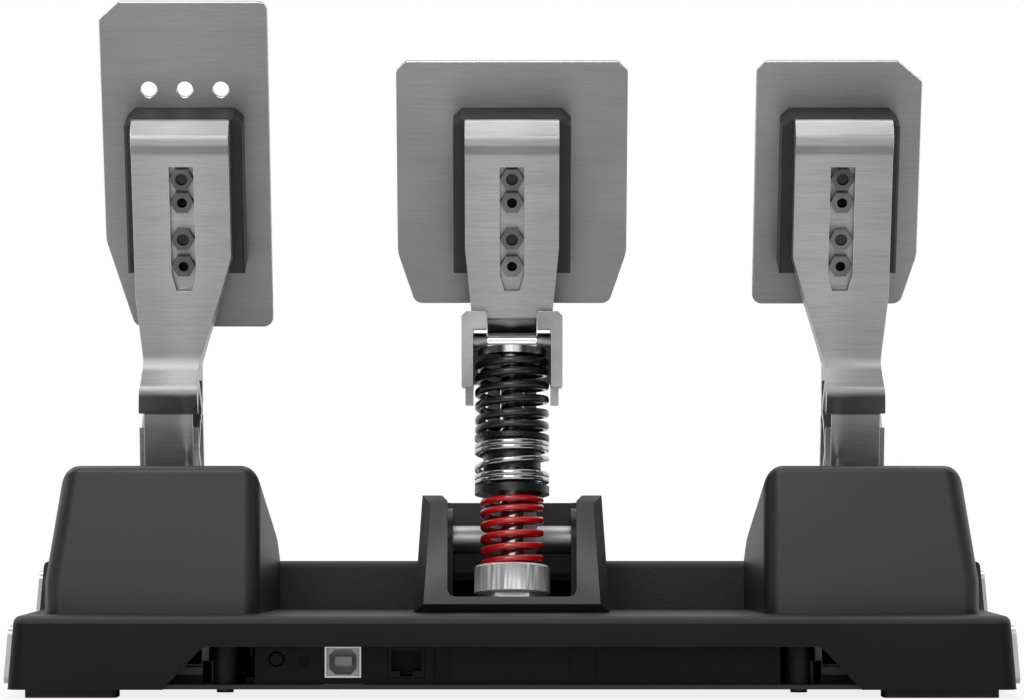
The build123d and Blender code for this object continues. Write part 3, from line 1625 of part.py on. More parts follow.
usb_inner = socket_outline(usb_x, usb_z, usb_width, usb_height, -usb_wall)
with BuildPart() as usb_shell:
    with BuildSketch(rear_plane(socket_y)):
        box_sketch(*socket_outline(usb_x, usb_z, usb_width, usb_height))
    extrude(amount=-usb_depth)
    with BuildSketch(rear_plane(socket_y)):
        box_sketch(*usb_inner)
    extrude(amount=-usb_depth, mode=Mode.SUBTRACT)
save(usb_shell, "usb_shell")

with BuildPart() as usb_insert:
    with BuildSketch(rear_plane(socket_y + usb_wall)):
        box_sketch(*socket_outline(usb_x, usb_z, usb_width, usb_height, -usb_wall - fit_gap))
    extrude(amount=-usb_depth + usb_wall)
    with BuildSketch(rear_plane(socket_y + usb_wall)):
        with Locations((usb_x, usb_z)):
            mouth = Rectangle(usb_mouth_width, usb_mouth_height)
        chamfer(mouth.vertices(), length=usb_mouth_chamfer)
    extrude(amount=-usb_mouth_depth, mode=Mode.SUBTRACT)
    with BuildSketch(rear_plane(socket_y + usb_wall + usb_mouth_depth)):
        with Locations((usb_x, usb_z)):
            Rectangle(usb_tongue_width, usb_tongue_height)
    extrude(amount=usb_tongue_length)
save(usb_insert, "usb_insert")

with BuildPart() as rj12_socket:
    with BuildSketch(rear_plane(socket_y)):
        box_sketch(*socket_outline(rj_x, rj_z, rj_width, rj_height))
    extrude(amount=-rj_depth)
    with BuildSketch(rear_plane(socket_y)):
        with Locations((rj_x, rj_z)):
            Rectangle(rj_mouth_width, rj_mouth_height)
        with Locations((rj_x, rj_z - rj_mouth_height / 2)):
            Rectangle(rj_latch_width, 2 * rj_latch_height)
    extrude(amount=-rj_mouth_depth, mode=Mode.SUBTRACT)
save(rj12_socket, "rj12_socket")

with BuildPart() as status_led:
    with BuildSketch(rear_plane(panel_y - led_proud)):
        with Locations((led_x, led_z)):
            Circle(led_radius)
    extrude(amount=-led_length)
save(status_led, "status_led")

with BuildPart() as mode_button:
    with BuildSketch(rear_plane(button_rest)):
        with Locations((button_x, button_z)):
            Circle(button_radius)
    extrude(amount=-button_length)
    fillet(mode_button.faces().sort_by(Axis.Y)[0].edges(), radius=button_edge_round)
    with BuildSketch(rear_plane(panel_y + panel_sheet + cheek_gap)):
        with Locations((button_x, button_z)):
            Circle(button_collar_radius)
    extrude(amount=-button_collar)
save(mode_button, "mode_button")
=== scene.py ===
import json
from math import cos, pi, radians, sin

import bpy
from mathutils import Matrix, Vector

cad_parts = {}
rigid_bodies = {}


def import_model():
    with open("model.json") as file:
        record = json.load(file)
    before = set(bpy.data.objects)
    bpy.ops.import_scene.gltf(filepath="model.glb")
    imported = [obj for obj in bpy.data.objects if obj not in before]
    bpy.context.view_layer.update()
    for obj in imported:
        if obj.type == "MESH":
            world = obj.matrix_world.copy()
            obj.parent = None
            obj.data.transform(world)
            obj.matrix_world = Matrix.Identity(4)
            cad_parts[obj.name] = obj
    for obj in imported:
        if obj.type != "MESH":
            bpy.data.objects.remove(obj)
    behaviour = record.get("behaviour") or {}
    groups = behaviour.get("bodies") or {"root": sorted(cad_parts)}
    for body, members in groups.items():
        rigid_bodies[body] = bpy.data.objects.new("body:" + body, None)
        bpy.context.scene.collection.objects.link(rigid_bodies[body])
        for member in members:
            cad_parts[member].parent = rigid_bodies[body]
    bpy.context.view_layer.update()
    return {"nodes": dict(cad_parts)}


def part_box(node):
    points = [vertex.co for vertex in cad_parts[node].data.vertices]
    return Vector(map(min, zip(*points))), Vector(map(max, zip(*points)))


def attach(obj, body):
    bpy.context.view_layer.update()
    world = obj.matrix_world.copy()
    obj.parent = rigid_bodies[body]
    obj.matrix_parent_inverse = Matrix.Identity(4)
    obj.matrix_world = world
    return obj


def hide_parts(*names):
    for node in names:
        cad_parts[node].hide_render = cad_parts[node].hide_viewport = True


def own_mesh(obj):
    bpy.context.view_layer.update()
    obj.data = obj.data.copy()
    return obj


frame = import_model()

# Camera: level, behind the pedals and a little above the deck, with a long lens.
# The photograph's frame is 1024 x 700 and its horizon lies on row 485.
picture_width = 1024
picture_height = 700
horizon_row = 485
focal_pixels = 4270
sensor_width = 36.0
camera_distance = 1.5425
camera_height = 0.070
view_limit = 100.0

bpy.ops.object.select_all(action="DESELECT")
bpy.ops.object.camera_add(location=(0, -camera_distance, camera_height), rotation=(pi / 2, 0, 0))
camera = bpy.context.object
camera.name = "camera"
camera.data.sensor_width = sensor_width
camera.data.lens = focal_pixels / picture_width * sensor_width
camera.data.shift_y = (horizon_row - picture_height / 2) / picture_width
camera.data.clip_end = view_limit
bpy.context.scene.camera = camera

# Studio: a pale floor that runs out to a white world, with a soft box overhead,
# one in front and a high narrow one at each side. Each box has its place, size and power.
floor_size = 12.0
floor_white = (0.8, 0.8, 0.8, 1.0)
shadow_reach = (0.2, 0.8)
shadow_share = 0.16
world_fill = 0.5
room_level = 0.05
front_level = 0.85
front_cone = (0.3, 0.7)
side_cone = (0.25, 0.6)
back_cone = (0.1, 0.55)
upper_level = 0.7
upper_cone = (0.45, 0.85)
soft_boxes = {
    "top_box": ((0.0, 0.1, 1.3), (1.5, 0.8), 9.0),
    "front_box": ((-0.35, -1.7, 1.0), (0.9, 0.5), 7.0),
    "side_box_right": ((1.05, 0.02, 0.72), (0.3, 0.6), 2.5),
    "side_box_left": ((-1.05, 0.02, 0.72), (0.3, 0.6), 3.5),
}
soft_box_target = Vector((0, -0.07, 0.1))

bpy.context.scene.view_settings.view_transform = "Standard"
bpy.ops.mesh.primitive_plane_add(size=floor_size, location=(0, 0, 0))
studio_floor = bpy.context.object
studio_floor.name = "studio_floor"


def new_material(name):
    """An empty node material with its output, and its node tree."""
    material = bpy.data.materials.new(name)
    material.use_nodes = True
    tree = material.node_tree
    tree.nodes.clear()
    return material, tree, tree.nodes.new("ShaderNodeOutputMaterial")


def joined(tree, operation, first, second):
    """A Math node on two sockets, or on a socket and a number, and its result."""
    node = tree.nodes.new("ShaderNodeMath")
    node.operation = operation
    for socket, value in zip(node.inputs, (first, second)):
        if isinstance(value, (int, float)):
            socket.default_value = value
        else:
            tree.links.new(value, socket)
    return node.outputs[0]


def eased(tree, value, span, ends):
    """A Map Range node that eases from one end to the other over a span."""
    node = tree.nodes.new("ShaderNodeMapRange")
    node.interpolation_type = "SMOOTHSTEP"
    tree.links.new(value, node.inputs["Value"])
    node.inputs["From Min"].default_value, node.inputs["From Max"].default_value = span
    node.inputs["To Min"].default_value, node.inputs["To Max"].default_value = ends
    return node.outputs["Result"]


floor_material, tree, out = new_material("studio_white")
diffuse = tree.nodes.new("ShaderNodeBsdfDiffuse")
diffuse.inputs["Color"].default_value = floor_white
glow = tree.nodes.new("ShaderNodeEmission")
rays = tree.nodes.new("ShaderNodeLightPath")
place = tree.nodes.new("ShaderNodeTexCoord")
reach = tree.nodes.new("ShaderNodeVectorMath")
reach.operation = "LENGTH"
tree.links.new(place.outputs["Object"], reach.inputs[0])
white_share = eased(tree, reach.outputs["Value"], shadow_reach, (1 - shadow_share, 1.0))
seen = joined(tree, "MAXIMUM", rays.outputs["Is Camera Ray"], rays.outputs["Is Transmission Ray"])
mix = tree.nodes.new("ShaderNodeMixShader")
tree.links.new(joined(tree, "MULTIPLY", seen, white_share), mix.inputs[0])
tree.links.new(diffuse.outputs[0], mix.inputs[1])
tree.links.new(glow.outputs[0], mix.inputs[2])
tree.links.new(mix.outputs[0], out.inputs[0])
studio_floor.data.materials.append(floor_material)

# The world is white to the camera and to glass. A gloss sees the same white behind the pedals,
# a soft patch in front, a soft ceiling, and a dark room at both sides.
world = bpy.data.worlds.new("studio")
bpy.context.scene.world = world
world.use_nodes = True
world.cycles.sampling_method = "NONE"
tree = world.node_tree
tree.nodes.clear()
rays = tree.nodes.new("ShaderNodeLightPath")
place = tree.nodes.new("ShaderNodeTexCoord")
split = tree.nodes.new("ShaderNodeSeparateXYZ")
tree.links.new(place.outputs["Generated"], split.inputs[0])
towards_front = joined(tree, "MULTIPLY", split.outputs["Y"], -1.0)
front = eased(tree, towards_front, front_cone, (room_level, front_level))
back = eased(tree, split.outputs["Y"], back_cone, (room_level, 1.0))
upper = eased(tree, split.outputs["Z"], upper_cone, (room_level, upper_level))
sideways = joined(tree, "ABSOLUTE", split.outputs["X"], 0.0)
centred = eased(tree, sideways, side_cone, (1.0, room_level))
front = joined(tree, "MULTIPLY", front, centred)
level = joined(tree, "MAXIMUM", joined(tree, "MAXIMUM", front, back), upper)
seen = joined(tree, "MAXIMUM", rays.outputs["Is Camera Ray"], rays.outputs["Is Transmission Ray"])
mirrored = joined(tree, "MULTIPLY", rays.outputs["Is Glossy Ray"], level)
filled = joined(tree, "MULTIPLY", rays.outputs["Is Diffuse Ray"], world_fill)
sky = tree.nodes.new("ShaderNodeBackground")
sky.inputs["Color"].default_value = (1, 1, 1, 1)
out = tree.nodes.new("ShaderNodeOutputWorld")
strength = joined(tree, "MAXIMUM", joined(tree, "MAXIMUM", seen, mirrored), filled)
tree.links.new(strength, sky.inputs["Strength"])
tree.links.new(sky.outputs[0], out.inputs[0])

for name, (place, size, power) in soft_boxes.items():
    bpy.ops.object.light_add(type="AREA", location=place)
    lamp = bpy.context.object
    lamp.name = name
    lamp.data.shape = "RECTANGLE"
    lamp.data.size, lamp.data.size_y = size
    lamp.data.energy = power
    lamp.rotation_euler = (soft_box_target - Vector(place)).to_track_quat("-Z", "Y").to_euler()
    lamp.visible_camera = False


# Deck shell: one black injection-moulded tray with a fine spark-eroded grain.
# The same plastic makes the two pedal towers.
grain_size = 0.00045
grain_depth = 0.00014
shell_dark = (0.005, 0.005, 0.0052)
shell_pale = (0.009, 0.009, 0.0094)
# Painted shade: the deck's steep faces below band_top, recess walls included, take a darker copy of the
# plastic with a weaker reflection, to darken the band under the rounded lip.
band_shade_dark = (0.003, 0.003, 0.003)
band_shade_pale = (0.005, 0.005, 0.0052)
band_top = 0.0243
band_steepness = 0.4
band_reflection = 0.2
cloud_size = 0.03
cloud_span = (0.35, 0.7)
gloss_below = 0.05
gloss_above = 0.07
grain_strength = 0.8
plastic_index = 1.5
weld_distance = 0.00001


def moulded_plastic(name, dark, pale, roughness, grain=grain_size, depth=grain_depth):
    """Textured plastic: slow colour clouds, a fine pebble grain and a slightly uneven gloss."""
    material, tree, out = new_material(name)
    place = tree.nodes.new("ShaderNodeTexCoord")
    clouds = tree.nodes.new("ShaderNodeTexNoise")
    clouds.inputs["Scale"].default_value = 1 / cloud_size
    clouds.inputs["Detail"].default_value = 3
    tone = tree.nodes.new("ShaderNodeValToRGB")
    for stop, position, colour in zip(tone.color_ramp.elements, cloud_span, (dark, pale)):
        stop.position = position
        stop.color = (*colour, 1)
    pebble = tree.nodes.new("ShaderNodeTexNoise")
    pebble.inputs["Scale"].default_value = 1 / grain
    pebble.inputs["Detail"].default_value = 2
    gloss = tree.nodes.new("ShaderNodeMapRange")
    gloss.inputs["To Min"].default_value = roughness - gloss_below
    gloss.inputs["To Max"].default_value = roughness + gloss_above
    bump = tree.nodes.new("ShaderNodeBump")
    bump.inputs["Strength"].default_value = grain_strength
    bump.inputs["Distance"].default_value = depth
    shader = tree.nodes.new("ShaderNodeBsdfPrincipled")
    shader.inputs["IOR"].default_value = plastic_index
    tree.links.new(place.outputs["Object"], clouds.inputs["Vector"])
    tree.links.new(place.outputs["Object"], pebble.inputs["Vector"])
    tree.links.new(clouds.outputs["Fac"], tone.inputs["Fac"])
    tree.links.new(tone.outputs["Color"], shader.inputs["Base Color"])
    tree.links.new(pebble.outputs["Fac"], gloss.inputs["Value"])
    tree.links.new(gloss.outputs["Result"], shader.inputs["Roughness"])
    tree.links.new(pebble.outputs["Fac"], bump.inputs["Height"])
    tree.links.new(bump.outputs["Normal"], shader.inputs["Normal"])
    tree.links.new(shader.outputs[0], out.inputs[0])
    return material


def set_finish(material, socket, value):
    """Set one constant socket of a material's shader."""
    material.node_tree.nodes["Principled BSDF"].inputs[socket].default_value = value


def dress(node, material):
    """Give a CAD node its finish."""
    slots = frame["nodes"][node].data.materials
    slots.clear()
    slots.append(material)


def welded_copy(node, name, body, slot, *surfaces):
    """A copy of a CAD node with its points merged, in the node's place and with its own surfaces."""
    bpy.ops.object.select_all(action="DESELECT")
    source = frame["nodes"][node]
    source.select_set(True)
    bpy.context.view_layer.objects.active = source
    bpy.ops.object.duplicate()
    piece = bpy.context.object
    bpy.ops.object.parent_clear(type="CLEAR_KEEP_TRANSFORM")
    for key in list(piece.keys()):
        del piece[key]
    piece.name = piece.data.name = name
    piece.data.materials.clear()
    for surface in surfaces:
        piece.data.materials.append(surface)
    bpy.ops.object.mode_set(mode="EDIT")
    bpy.ops.mesh.select_all(action="SELECT")
    bpy.ops.mesh.remove_doubles(threshold=weld_distance)
    bpy.ops.mesh.dissolve_limited(angle_limit=radians(1))
    bpy.ops.mesh.normals_make_consistent(inside=False)
    bpy.ops.object.mode_set(mode="OBJECT")
    bpy.ops.object.shade_smooth_by_angle(angle=radians(30))
    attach(piece, body)
    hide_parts(node)
    return piece


shell_black = moulded_plastic("shell_black", shell_dark, shell_pale, 0.52)
band_shade_black = moulded_plastic("band_shade_black", band_shade_dark, band_shade_pale, 0.5, depth=0.00003)
set_finish(band_shade_black, "Specular IOR Level", band_reflection)
deck = welded_copy("deck_shell", "deck_cover", "base", "shell_plastic", shell_black, band_shade_black)
# Painted shade: low steep faces are moved to the darker, less reflective band plastic.
for face in deck.data.polygons:
    if face.center.z < band_top and abs(face.normal.z) < band_steepness:
        face.material_index = 1

# Bottom plate: black powder-coated steel sheet with zinc-plated inserts, screws and bolts.
# Its coat shows a faint orange peel.
coat_black = (0.004, 0.004, 0.0042)
coat_pale = (0.007, 0.007, 0.0073)
powder_coat = moulded_plastic("powder_coat", coat_black, coat_pale, 0.38, grain=0.0012, depth=0.00004)
dress("bottom_plate", powder_coat)


def worn_metal(name, dark, pale, roughness, spot=0.004, depth=0.00002):
    """Plain metal with a mottled tone, an uneven polish and fine pits."""
    material = moulded_plastic(name, dark, pale, roughness, grain=spot, depth=depth)
    set_finish(material, "Metallic", 1.0)
    return material


zinc = worn_metal("zinc_plate", (0.42, 0.42, 0.43), (0.58, 0.58, 0.57), 0.32)
for node in ("mounting_inserts", "frame_bolts", "heel_plate_screws"):
    dress(node, zinc)
blacked_steel = worn_metal("blacked_steel", (0.03, 0.03, 0.031), (0.05, 0.05, 0.051), 0.38)
dress("case_screws", blacked_steel)

# Rubber feet: four moulded pads glued under the corners, matt and slightly dusty.
rubber_black = (0.012, 0.012, 0.012)
rubber_dust = (0.026, 0.026, 0.025)
foot_rubber = moulded_plastic("foot_rubber", rubber_black, rubber_dust, 0.72, grain=0.0009, depth=0.0001)
dress("rubber_feet", foot_rubber)

# Side trims and heel plate: aluminium sheet brushed across the pedals.
# The brush lines run along X, so a stretched noise makes the tone, the polish and the bump.
brush_line = 0.00035
brush_length = 0.012
brush_depth = 0.000015
brush_strength = 0.6
line_roughness = 0.62
streak_scale = 0.06
streak_share = 0.25
brush_span = (0.3, 0.7)
polish_below = 0.06
polish_above = 0.08
quarter_turn = 0.25


def brushed_metal(name, dark, pale, roughness, axis="X", streak=0.75):
    """Brushed metal whose lines run along one axis."""
    material, tree, out = new_material(name)
    place = tree.nodes.new("ShaderNodeTexCoord")
    stretch = tree.nodes.new("ShaderNodeMapping")
    stretch.inputs["Scale"].default_value = [
        1 / brush_length if letter == axis else 1 / brush_line for letter in "XYZ"
    ]
    lines = tree.nodes.new("ShaderNodeTexNoise")
    lines.inputs["Scale"].default_value = 1.0
    lines.inputs["Detail"].default_value = 4
    lines.inputs["Roughness"].default_value = line_roughness
    wide = tree.nodes.new("ShaderNodeTexNoise")
    wide.inputs["Scale"].default_value = streak_scale
    wide.inputs["Detail"].default_value = 3
    tone = tree.nodes.new("ShaderNodeValToRGB")
    for stop, position, colour in zip(tone.color_ramp.elements, brush_span, (dark, pale)):
        stop.position = position
        stop.color = (*colour, 1)
    both = tree.nodes.new("ShaderNodeMix")
    both.inputs["Factor"].default_value = streak_share
    polish = tree.nodes.new("ShaderNodeMapRange")
    polish.inputs["To Min"].default_value = roughness - polish_below
    polish.inputs["To Max"].default_value = roughness + polish_above
    bump = tree.nodes.new("ShaderNodeBump")
    bump.inputs["Strength"].default_value = brush_strength
    bump.inputs["Distance"].default_value = brush_depth
    shader = tree.nodes.new("ShaderNodeBsdfPrincipled")
    shader.inputs["Metallic"].default_value = 1.0
    shader.inputs["Anisotropic"].default_value = streak
    shader.inputs["Anisotropic Rotation"].default_value = quarter_turn
    around = tree.nodes.new("ShaderNodeTangent")
    around.direction_type = "RADIAL"
    around.axis = "Z"
    tree.links.new(around.outputs[0], shader.inputs["Tangent"])
    tree.links.new(place.outputs["Object"], stretch.inputs["Vector"])
    tree.links.new(stretch.outputs["Vector"], lines.inputs["Vector"])
    tree.links.new(stretch.outputs["Vector"], wide.inputs["Vector"])
    tree.links.new(lines.outputs["Fac"], both.inputs["A"])
    tree.links.new(wide.outputs["Fac"], both.inputs["B"])
    tree.links.new(both.outputs["Result"], tone.inputs["Fac"])
    tree.links.new(tone.outputs["Color"], shader.inputs["Base Color"])
    tree.links.new(lines.outputs["Fac"], polish.inputs["Value"])
    tree.links.new(polish.outputs["Result"], shader.inputs["Roughness"])
    tree.links.new(lines.outputs["Fac"], bump.inputs["Height"])
    tree.links.new(bump.outputs["Normal"], shader.inputs["Normal"])
    tree.links.new(shader.outputs[0], out.inputs[0])
    return material


trim_metal = brushed_metal("trim_metal", (0.45, 0.45, 0.455), (0.6, 0.6, 0.605), 0.36, axis="Y", streak=0)
dress("side_trims", trim_metal)
heel_metal = brushed_metal("heel_metal", (0.4, 0.4, 0.405), (0.55, 0.55, 0.555), 0.38, streak=0)
dress("heel_plate", heel_metal)

# Towers and bezel: moulded covers with a finer grain and a satin face,
# clipped down on the shell. The bezel is a shade greyer.
tower_dark = (0.003, 0.003, 0.0031)
tower_pale = (0.005, 0.005, 0.0052)
bezel_dark = (0.012, 0.012, 0.0124)
bezel_pale = (0.016, 0.016, 0.0165)
satin_reflection = 0.8
mouth_chamfer = 0.0019
mouth_reach = 0.0225
level_match = 0.0001
satin_black = moulded_plastic("satin_black", tower_dark, tower_pale, 0.42, depth=0.00005)
satin_grey = moulded_plastic("satin_grey", bezel_dark, bezel_pale, 0.4, depth=0.00004)
for surface in (satin_black, satin_grey):
    set_finish(surface, "Specular IOR Level", satin_reflection)
for node in ("throttle_tower", "clutch_tower"):
    welded_copy(node, f"{node}_cover", "base", "shell_plastic", satin_black)
bezel = welded_copy("brake_bezel", "brake_bezel_frame", "base", "bezel_plastic", satin_grey)
low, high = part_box("brake_bezel")
middle_x = (low[0] + high[0]) / 2
bpy.ops.object.mode_set(mode="EDIT")
bpy.ops.mesh.select_all(action="DESELECT")
bpy.ops.object.mode_set(mode="OBJECT")
corners = bezel.data.vertices
for edge in bezel.data.edges:
    ends = [corners[index].co for index in edge.vertices]
    on_top = min(end.z for end in ends) > high[2] - level_match
    inner = max(abs(end.x - middle_x) for end in ends) < mouth_reach
    edge.select = on_top and inner and abs(ends[0].x - ends[1].x) < level_match
bpy.ops.object.mode_set(mode="EDIT")
bpy.ops.mesh.bevel(offset=mouth_chamfer, segments=1)
bpy.ops.object.mode_set(mode="OBJECT")

# Pivots: zinc-plated sheet brackets, steel axles and sintered bronze bushings.
# The brake's axle carries two brushed aluminium sleeves.
for node in (
    "throttle_bracket", "clutch_bracket", "throttle_axle", "clutch_axle", "brake_axle", "strut_foot_pin",
):
    dress(node, zinc)
dress("brake_bracket", blacked_steel)
bronze = worn_metal("bronze", (0.42, 0.27, 0.12), (0.58, 0.4, 0.2), 0.4)
for node in ("throttle_bushing", "clutch_bushing", "brake_bushing"):
    dress(node, bronze)
bright_steel = worn_metal("bright_steel", (0.5, 0.5, 0.505), (0.62, 0.62, 0.625), 0.14)
for node in ("return_springs", "throttle_magnet", "clutch_magnet"):
    dress(node, bright_steel)
sleeve_metal = brushed_metal("sleeve_metal", (0.3, 0.3, 0.303), (0.46, 0.46, 0.464), 0.42, streak=0)
dress("axle_sleeves", sleeve_metal)
dress("load_cell", sleeve_metal)

# Pedal arms: bent aluminium bars, milled, brushed across and then bevelled bright.
# Each is the CAD arm with its sharp edges broken.
arm_dark = (0.34, 0.34, 0.344)
arm_pale = (0.5, 0.5, 0.505)
arm_bevel = 0.0006
arm_metal = brushed_metal("arm_metal", arm_dark, arm_pale, 0.42)
edge_metal = worn_metal("edge_metal", (0.7, 0.7, 0.71), (0.85, 0.85, 0.86), 0.2)


def break_edges(piece, width, segments=2):
    """Bevel a piece's sharp edges in the brighter metal of its second slot."""
    bevel = piece.modifiers.new("broken_edges", "BEVEL")
    bevel.width = width
    bevel.segments = segments
    bevel.limit_method = "ANGLE"
    bevel.angle_limit = radians(32)
    bevel.material = 1
    bevel.use_clamp_overlap = True
    bpy.ops.object.modifier_apply(modifier=bevel.name)
    bpy.ops.object.shade_smooth_by_angle(angle=radians(30))


for pedal in ("throttle", "brake", "clutch"):
    arm = welded_copy(
        f"{pedal}_arm", f"{pedal}_arm_bar", f"{pedal}_pedal", "arm_aluminium", arm_metal, edge_metal
    )
    break_edges(arm, arm_bevel)

# Pedal heads: satin black anodised spacer blocks, brushed aluminium face plates,
# dark hex nuts in the arm's channel and blackened socket screws through the plate.
plate_dark = (0.26, 0.26, 0.263)
plate_pale = (0.34, 0.34, 0.343)
plate_bevel = 0.0003
plate_metal = brushed_metal("plate_metal", plate_dark, plate_pale, 0.4)
anodised_dark = (0.006, 0.006, 0.0065)
anodised_pale = (0.011, 0.011, 0.012)
anodised = moulded_plastic("anodised_black", anodised_dark, anodised_pale, 0.4, grain=0.0003)
nut_metal = worn_metal("nut_metal", (0.08, 0.08, 0.082), (0.2, 0.2, 0.202), 0.22)
for pedal in ("throttle", "brake", "clutch"):
    plate = welded_copy(
        f"{pedal}_plate", f"{pedal}_face_plate", f"{pedal}_pedal", "brushed_aluminium",
        plate_metal, edge_metal,
    )
    break_edges(plate, plate_bevel)
    dress(f"{pedal}_spacer", anodised)
    dress(f"{pedal}_screws", blacked_steel)
    dress(f"{pedal}_nuts", nut_metal)

# Clevis: two ears pinned to the brake arm, with a small chamfer on their outer top edges,
# a mottled face and bright cross pins.
# Painted shade: the ear metal's tone is set darker than the arm's to stand for the shade on the ears under
# the arm; the mottle is the metal's own.
ear_dark = (0.24, 0.24, 0.243)
ear_pale = (0.48, 0.48, 0.485)
ear_chamfer = 0.003
ear_chamfer_kept = 0.0016
ear_bevel = 0.0007
corner_match = 0.00005
ear_metal = worn_metal("ear_metal", ear_dark, ear_pale, 0.34, spot=0.0006, depth=0.00012)
ears = welded_copy("clevis_ears", "clevis_ear_pair", "brake_pedal", "arm_aluminium", ear_metal, edge_metal)
ear_side, _, ear_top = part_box("clevis_ears")[1]
for vertex in ears.data.vertices:
    outward = 1 if vertex.co.x > 0 else -1
    at_chamfer = abs(abs(vertex.co.x) - (ear_side - ear_chamfer)) < corner_match
    if abs(vertex.co.z - (ear_top - ear_chamfer)) < corner_match:
        vertex.co.z += ear_chamfer - ear_chamfer_kept
    elif vertex.co.z > ear_top - corner_match and at_chamfer:
        vertex.co.x += outward * (ear_chamfer - ear_chamfer_kept)
break_edges(ears, ear_bevel, segments=3)
chrome = worn_metal("chrome", (0.74, 0.74, 0.75), (0.84, 0.84, 0.85), 0.07, spot=0.01)
dress("cross_pins", chrome)

# Spring strut: a satin cup on a fork, a hard-chromed rod with its seat,
# and two glossy black plastic guides that slide on the rod. Heights run along the strut from its foot pin.
strut_lean = radians(8.081)
strut_foot_place = Vector((0, -0.0877, 0.01315))
strut_axis = Vector((0, sin(strut_lean), cos(strut_lean)))
cup_underside = 0.0205
cup_drop = 0.0013
cup_dark = (0.72, 0.72, 0.725)
cup_pale = (0.8, 0.8, 0.805)
cup_metal = worn_metal("cup_metal", cup_dark, cup_pale, 0.46, spot=0.0008, depth=0.00001)
set_finish(cup_metal, "Metallic", 0.45)
cup = welded_copy("spring_cup", "spring_cup_turned", "strut_foot", "chrome", cup_metal)
for vertex in cup.data.vertices:
    if (vertex.co - strut_foot_place).dot(strut_axis) > cup_underside:
        vertex.co -= cup_drop * strut_axis
dress("strut_head", chrome)
guide_black = moulded_plastic("guide_black", (0.004, 0.004, 0.004), (0.007, 0.007, 0.0073), 0.25)
dress("lower_guide", guide_black)
dress("upper_guide", guide_black)

# Springs: three coils wound from wire with flattened faces, their ends wound close.
# The red one is the stiffest and stands in the cup, a thin bright one sits between the guides,
# and the black one bears on the seat under the clevis. All three lean with the strut.
turn_steps = 40
wire_corner_steps = 3
close_rise = 1.05
lacquer_black = (0.003, 0.003, 0.0033)
lacquer_red = (0.5, 0.003, 0.005)
lacquer_lift = 1.25
cup_floor = 0.0253
lower_guide_base = 0.054
lower_guide_top = 0.0567
upper_guide_base = 0.0726
upper_guide_top = 0.0743
seat_base = 0.1018


def lacquer(name, colour, roughness, coat_index):
    """Coloured lacquer under a clear coat: faint flow marks in the tone and the gloss."""
    pale = tuple(min(1.0, lacquer_lift * part) for part in colour)
    material = moulded_plastic(name, colour, pale, roughness, grain=0.0016, depth=0.00001)
    set_finish(material, "Coat Weight", 1.0)
    set_finish(material, "Coat Roughness", 0.08)
    set_finish(material, "Coat IOR", coat_index)
    return material


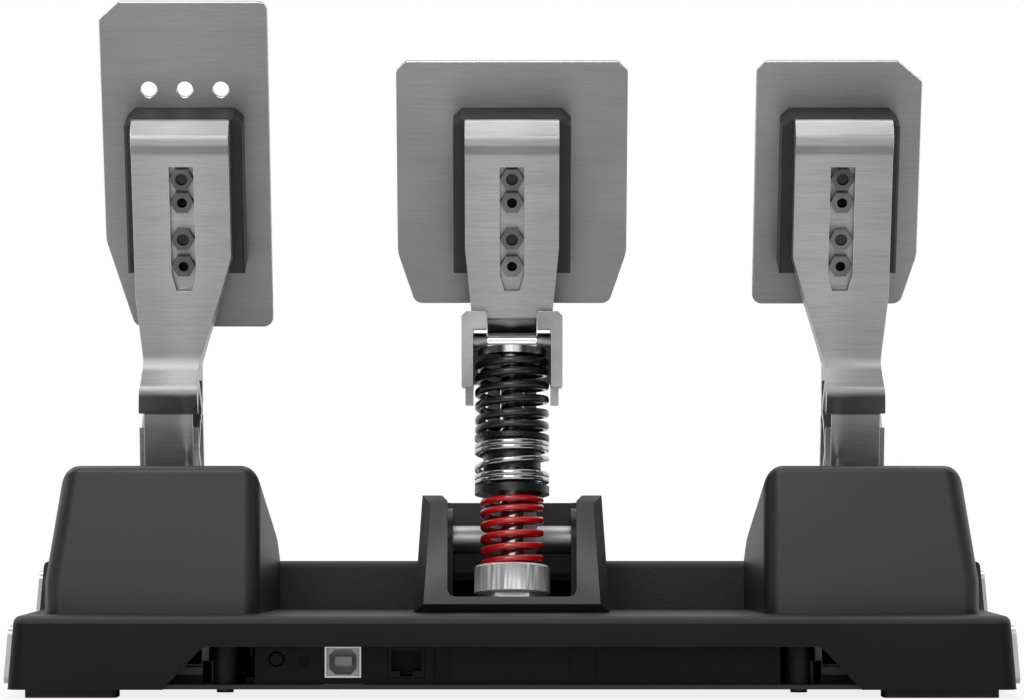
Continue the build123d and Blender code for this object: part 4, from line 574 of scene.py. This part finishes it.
def wound_spring(node, body, surface, radius, wire, base, top, closed, turns):
    """A coil of flat-faced wire between two heights; the wire is its thickness, height and corner."""
    thick, tall, corner = wire
    span = top - base - tall
    pitch = (span - 2 * closed * close_rise * tall) / (turns - 2 * closed)
    steps = round(turns * turn_steps)
    bpy.ops.object.select_all(action="DESELECT")
    bpy.ops.mesh.primitive_plane_add(size=1, location=(0, radius - thick / 2, 0), rotation=(0, pi / 2, 0))
    piece = bpy.context.object
    piece.name = f"{node}_coil"
    piece.data.name = piece.name
    piece.scale = (tall, thick, 1)
    bpy.ops.object.transform_apply(location=True, rotation=True, scale=True)
    bpy.ops.object.mode_set(mode="EDIT")
    bpy.ops.mesh.select_all(action="SELECT")
    bpy.ops.mesh.bevel(offset=corner, segments=wire_corner_steps, affect="VERTICES")
    bpy.ops.mesh.select_all(action="SELECT")
    bpy.ops.mesh.delete(type="ONLY_FACE")
    bpy.ops.object.mode_set(mode="OBJECT")
    ring = len(piece.data.vertices)
    winding = piece.modifiers.new("winding", "SCREW")
    winding.axis = "Z"
    winding.angle = 2 * pi * turns
    winding.steps = winding.render_steps = steps
    winding.use_merge_vertices = False
    bpy.ops.object.modifier_apply(modifier=winding.name)
    assert len(piece.data.vertices) == ring * (steps + 1)
    for index, vertex in enumerate(piece.data.vertices):
        turn = index // ring / steps * turns
        near_end = min(turn, turns - turn, closed)
        rise = near_end * close_rise * tall if turn < turns / 2 else span - near_end * close_rise * tall
        if closed < turn < turns - closed:
            rise = closed * close_rise * tall + (turn - closed) * pitch
        vertex.co.z += base + tall / 2 + rise
    bpy.ops.object.mode_set(mode="EDIT")
    bpy.ops.mesh.select_all(action="SELECT")
    bpy.ops.mesh.fill_holes(sides=0)
    bpy.ops.mesh.select_all(action="SELECT")
    bpy.ops.mesh.normals_make_consistent(inside=False)
    bpy.ops.object.mode_set(mode="OBJECT")
    piece.rotation_euler = (-strut_lean, 0, 0)
    piece.location = strut_foot_place
    bpy.ops.object.transform_apply(location=True, rotation=True, scale=True)
    bpy.ops.object.shade_smooth_by_angle(angle=radians(35))
    piece.data.materials.append(surface)
    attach(piece, body)
    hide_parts(node)
    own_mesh(piece)
    return piece


wound_spring(
    "red_spring", "strut_foot", lacquer("red_lacquer", lacquer_red, 0.3, 1.5),
    radius=0.0109, wire=(0.0023, 0.0022, 0.0008),
    base=cup_floor, top=lower_guide_base, closed=1, turns=7,
)
wound_spring(
    "silver_spring", "lower_guide", bright_steel,
    radius=0.0128, wire=(0.0018, 0.0017, 0.0004),
    base=lower_guide_top, top=upper_guide_base, closed=2, turns=5,
)
wound_spring(
    "black_spring", "upper_guide", lacquer("black_lacquer", lacquer_black, 0.4, 1.35),
    radius=0.01275, wire=(0.0026, 0.0027, 0.001),
    base=upper_guide_top, top=seat_base, closed=1, turns=6,
)

# Electronics: boards with a very dark green mask, a tinned USB shell, black socket bodies,
# a lamp and a button.
board_green = moulded_plastic("board_green", (0.002, 0.006, 0.004), (0.003, 0.009, 0.006), 0.4, grain=0.002)
socket_dark = (0.003, 0.003, 0.0032)
socket_pale = (0.005, 0.005, 0.0053)
socket_black = moulded_plastic("socket_black", socket_dark, socket_pale, 0.5, depth=0.00003)
set_finish(socket_black, "Specular IOR Level", 0.2)
insert_grey = moulded_plastic("insert_grey", (0.5, 0.5, 0.49), (0.6, 0.6, 0.59), 0.45)
lens_black = moulded_plastic("lens_black", (0.002, 0.002, 0.002), (0.004, 0.004, 0.004), 0.3)
for surface in (board_green, lens_black):
    set_finish(surface, "Specular IOR Level", 0.1)
button_ring = 0.00025
dress("main_board", board_green)
dress("angle_sensors", board_green)
dress("usb_shell", bright_steel)
dress("usb_insert", insert_grey)
dress("rj12_socket", socket_black)
dress("port_panel", socket_black)
button = welded_copy(
    "mode_button", "mode_button_cap", "mode_button", "socket_plastic", socket_black, edge_metal
)
break_edges(button, button_ring)
dress("status_led", lens_black)
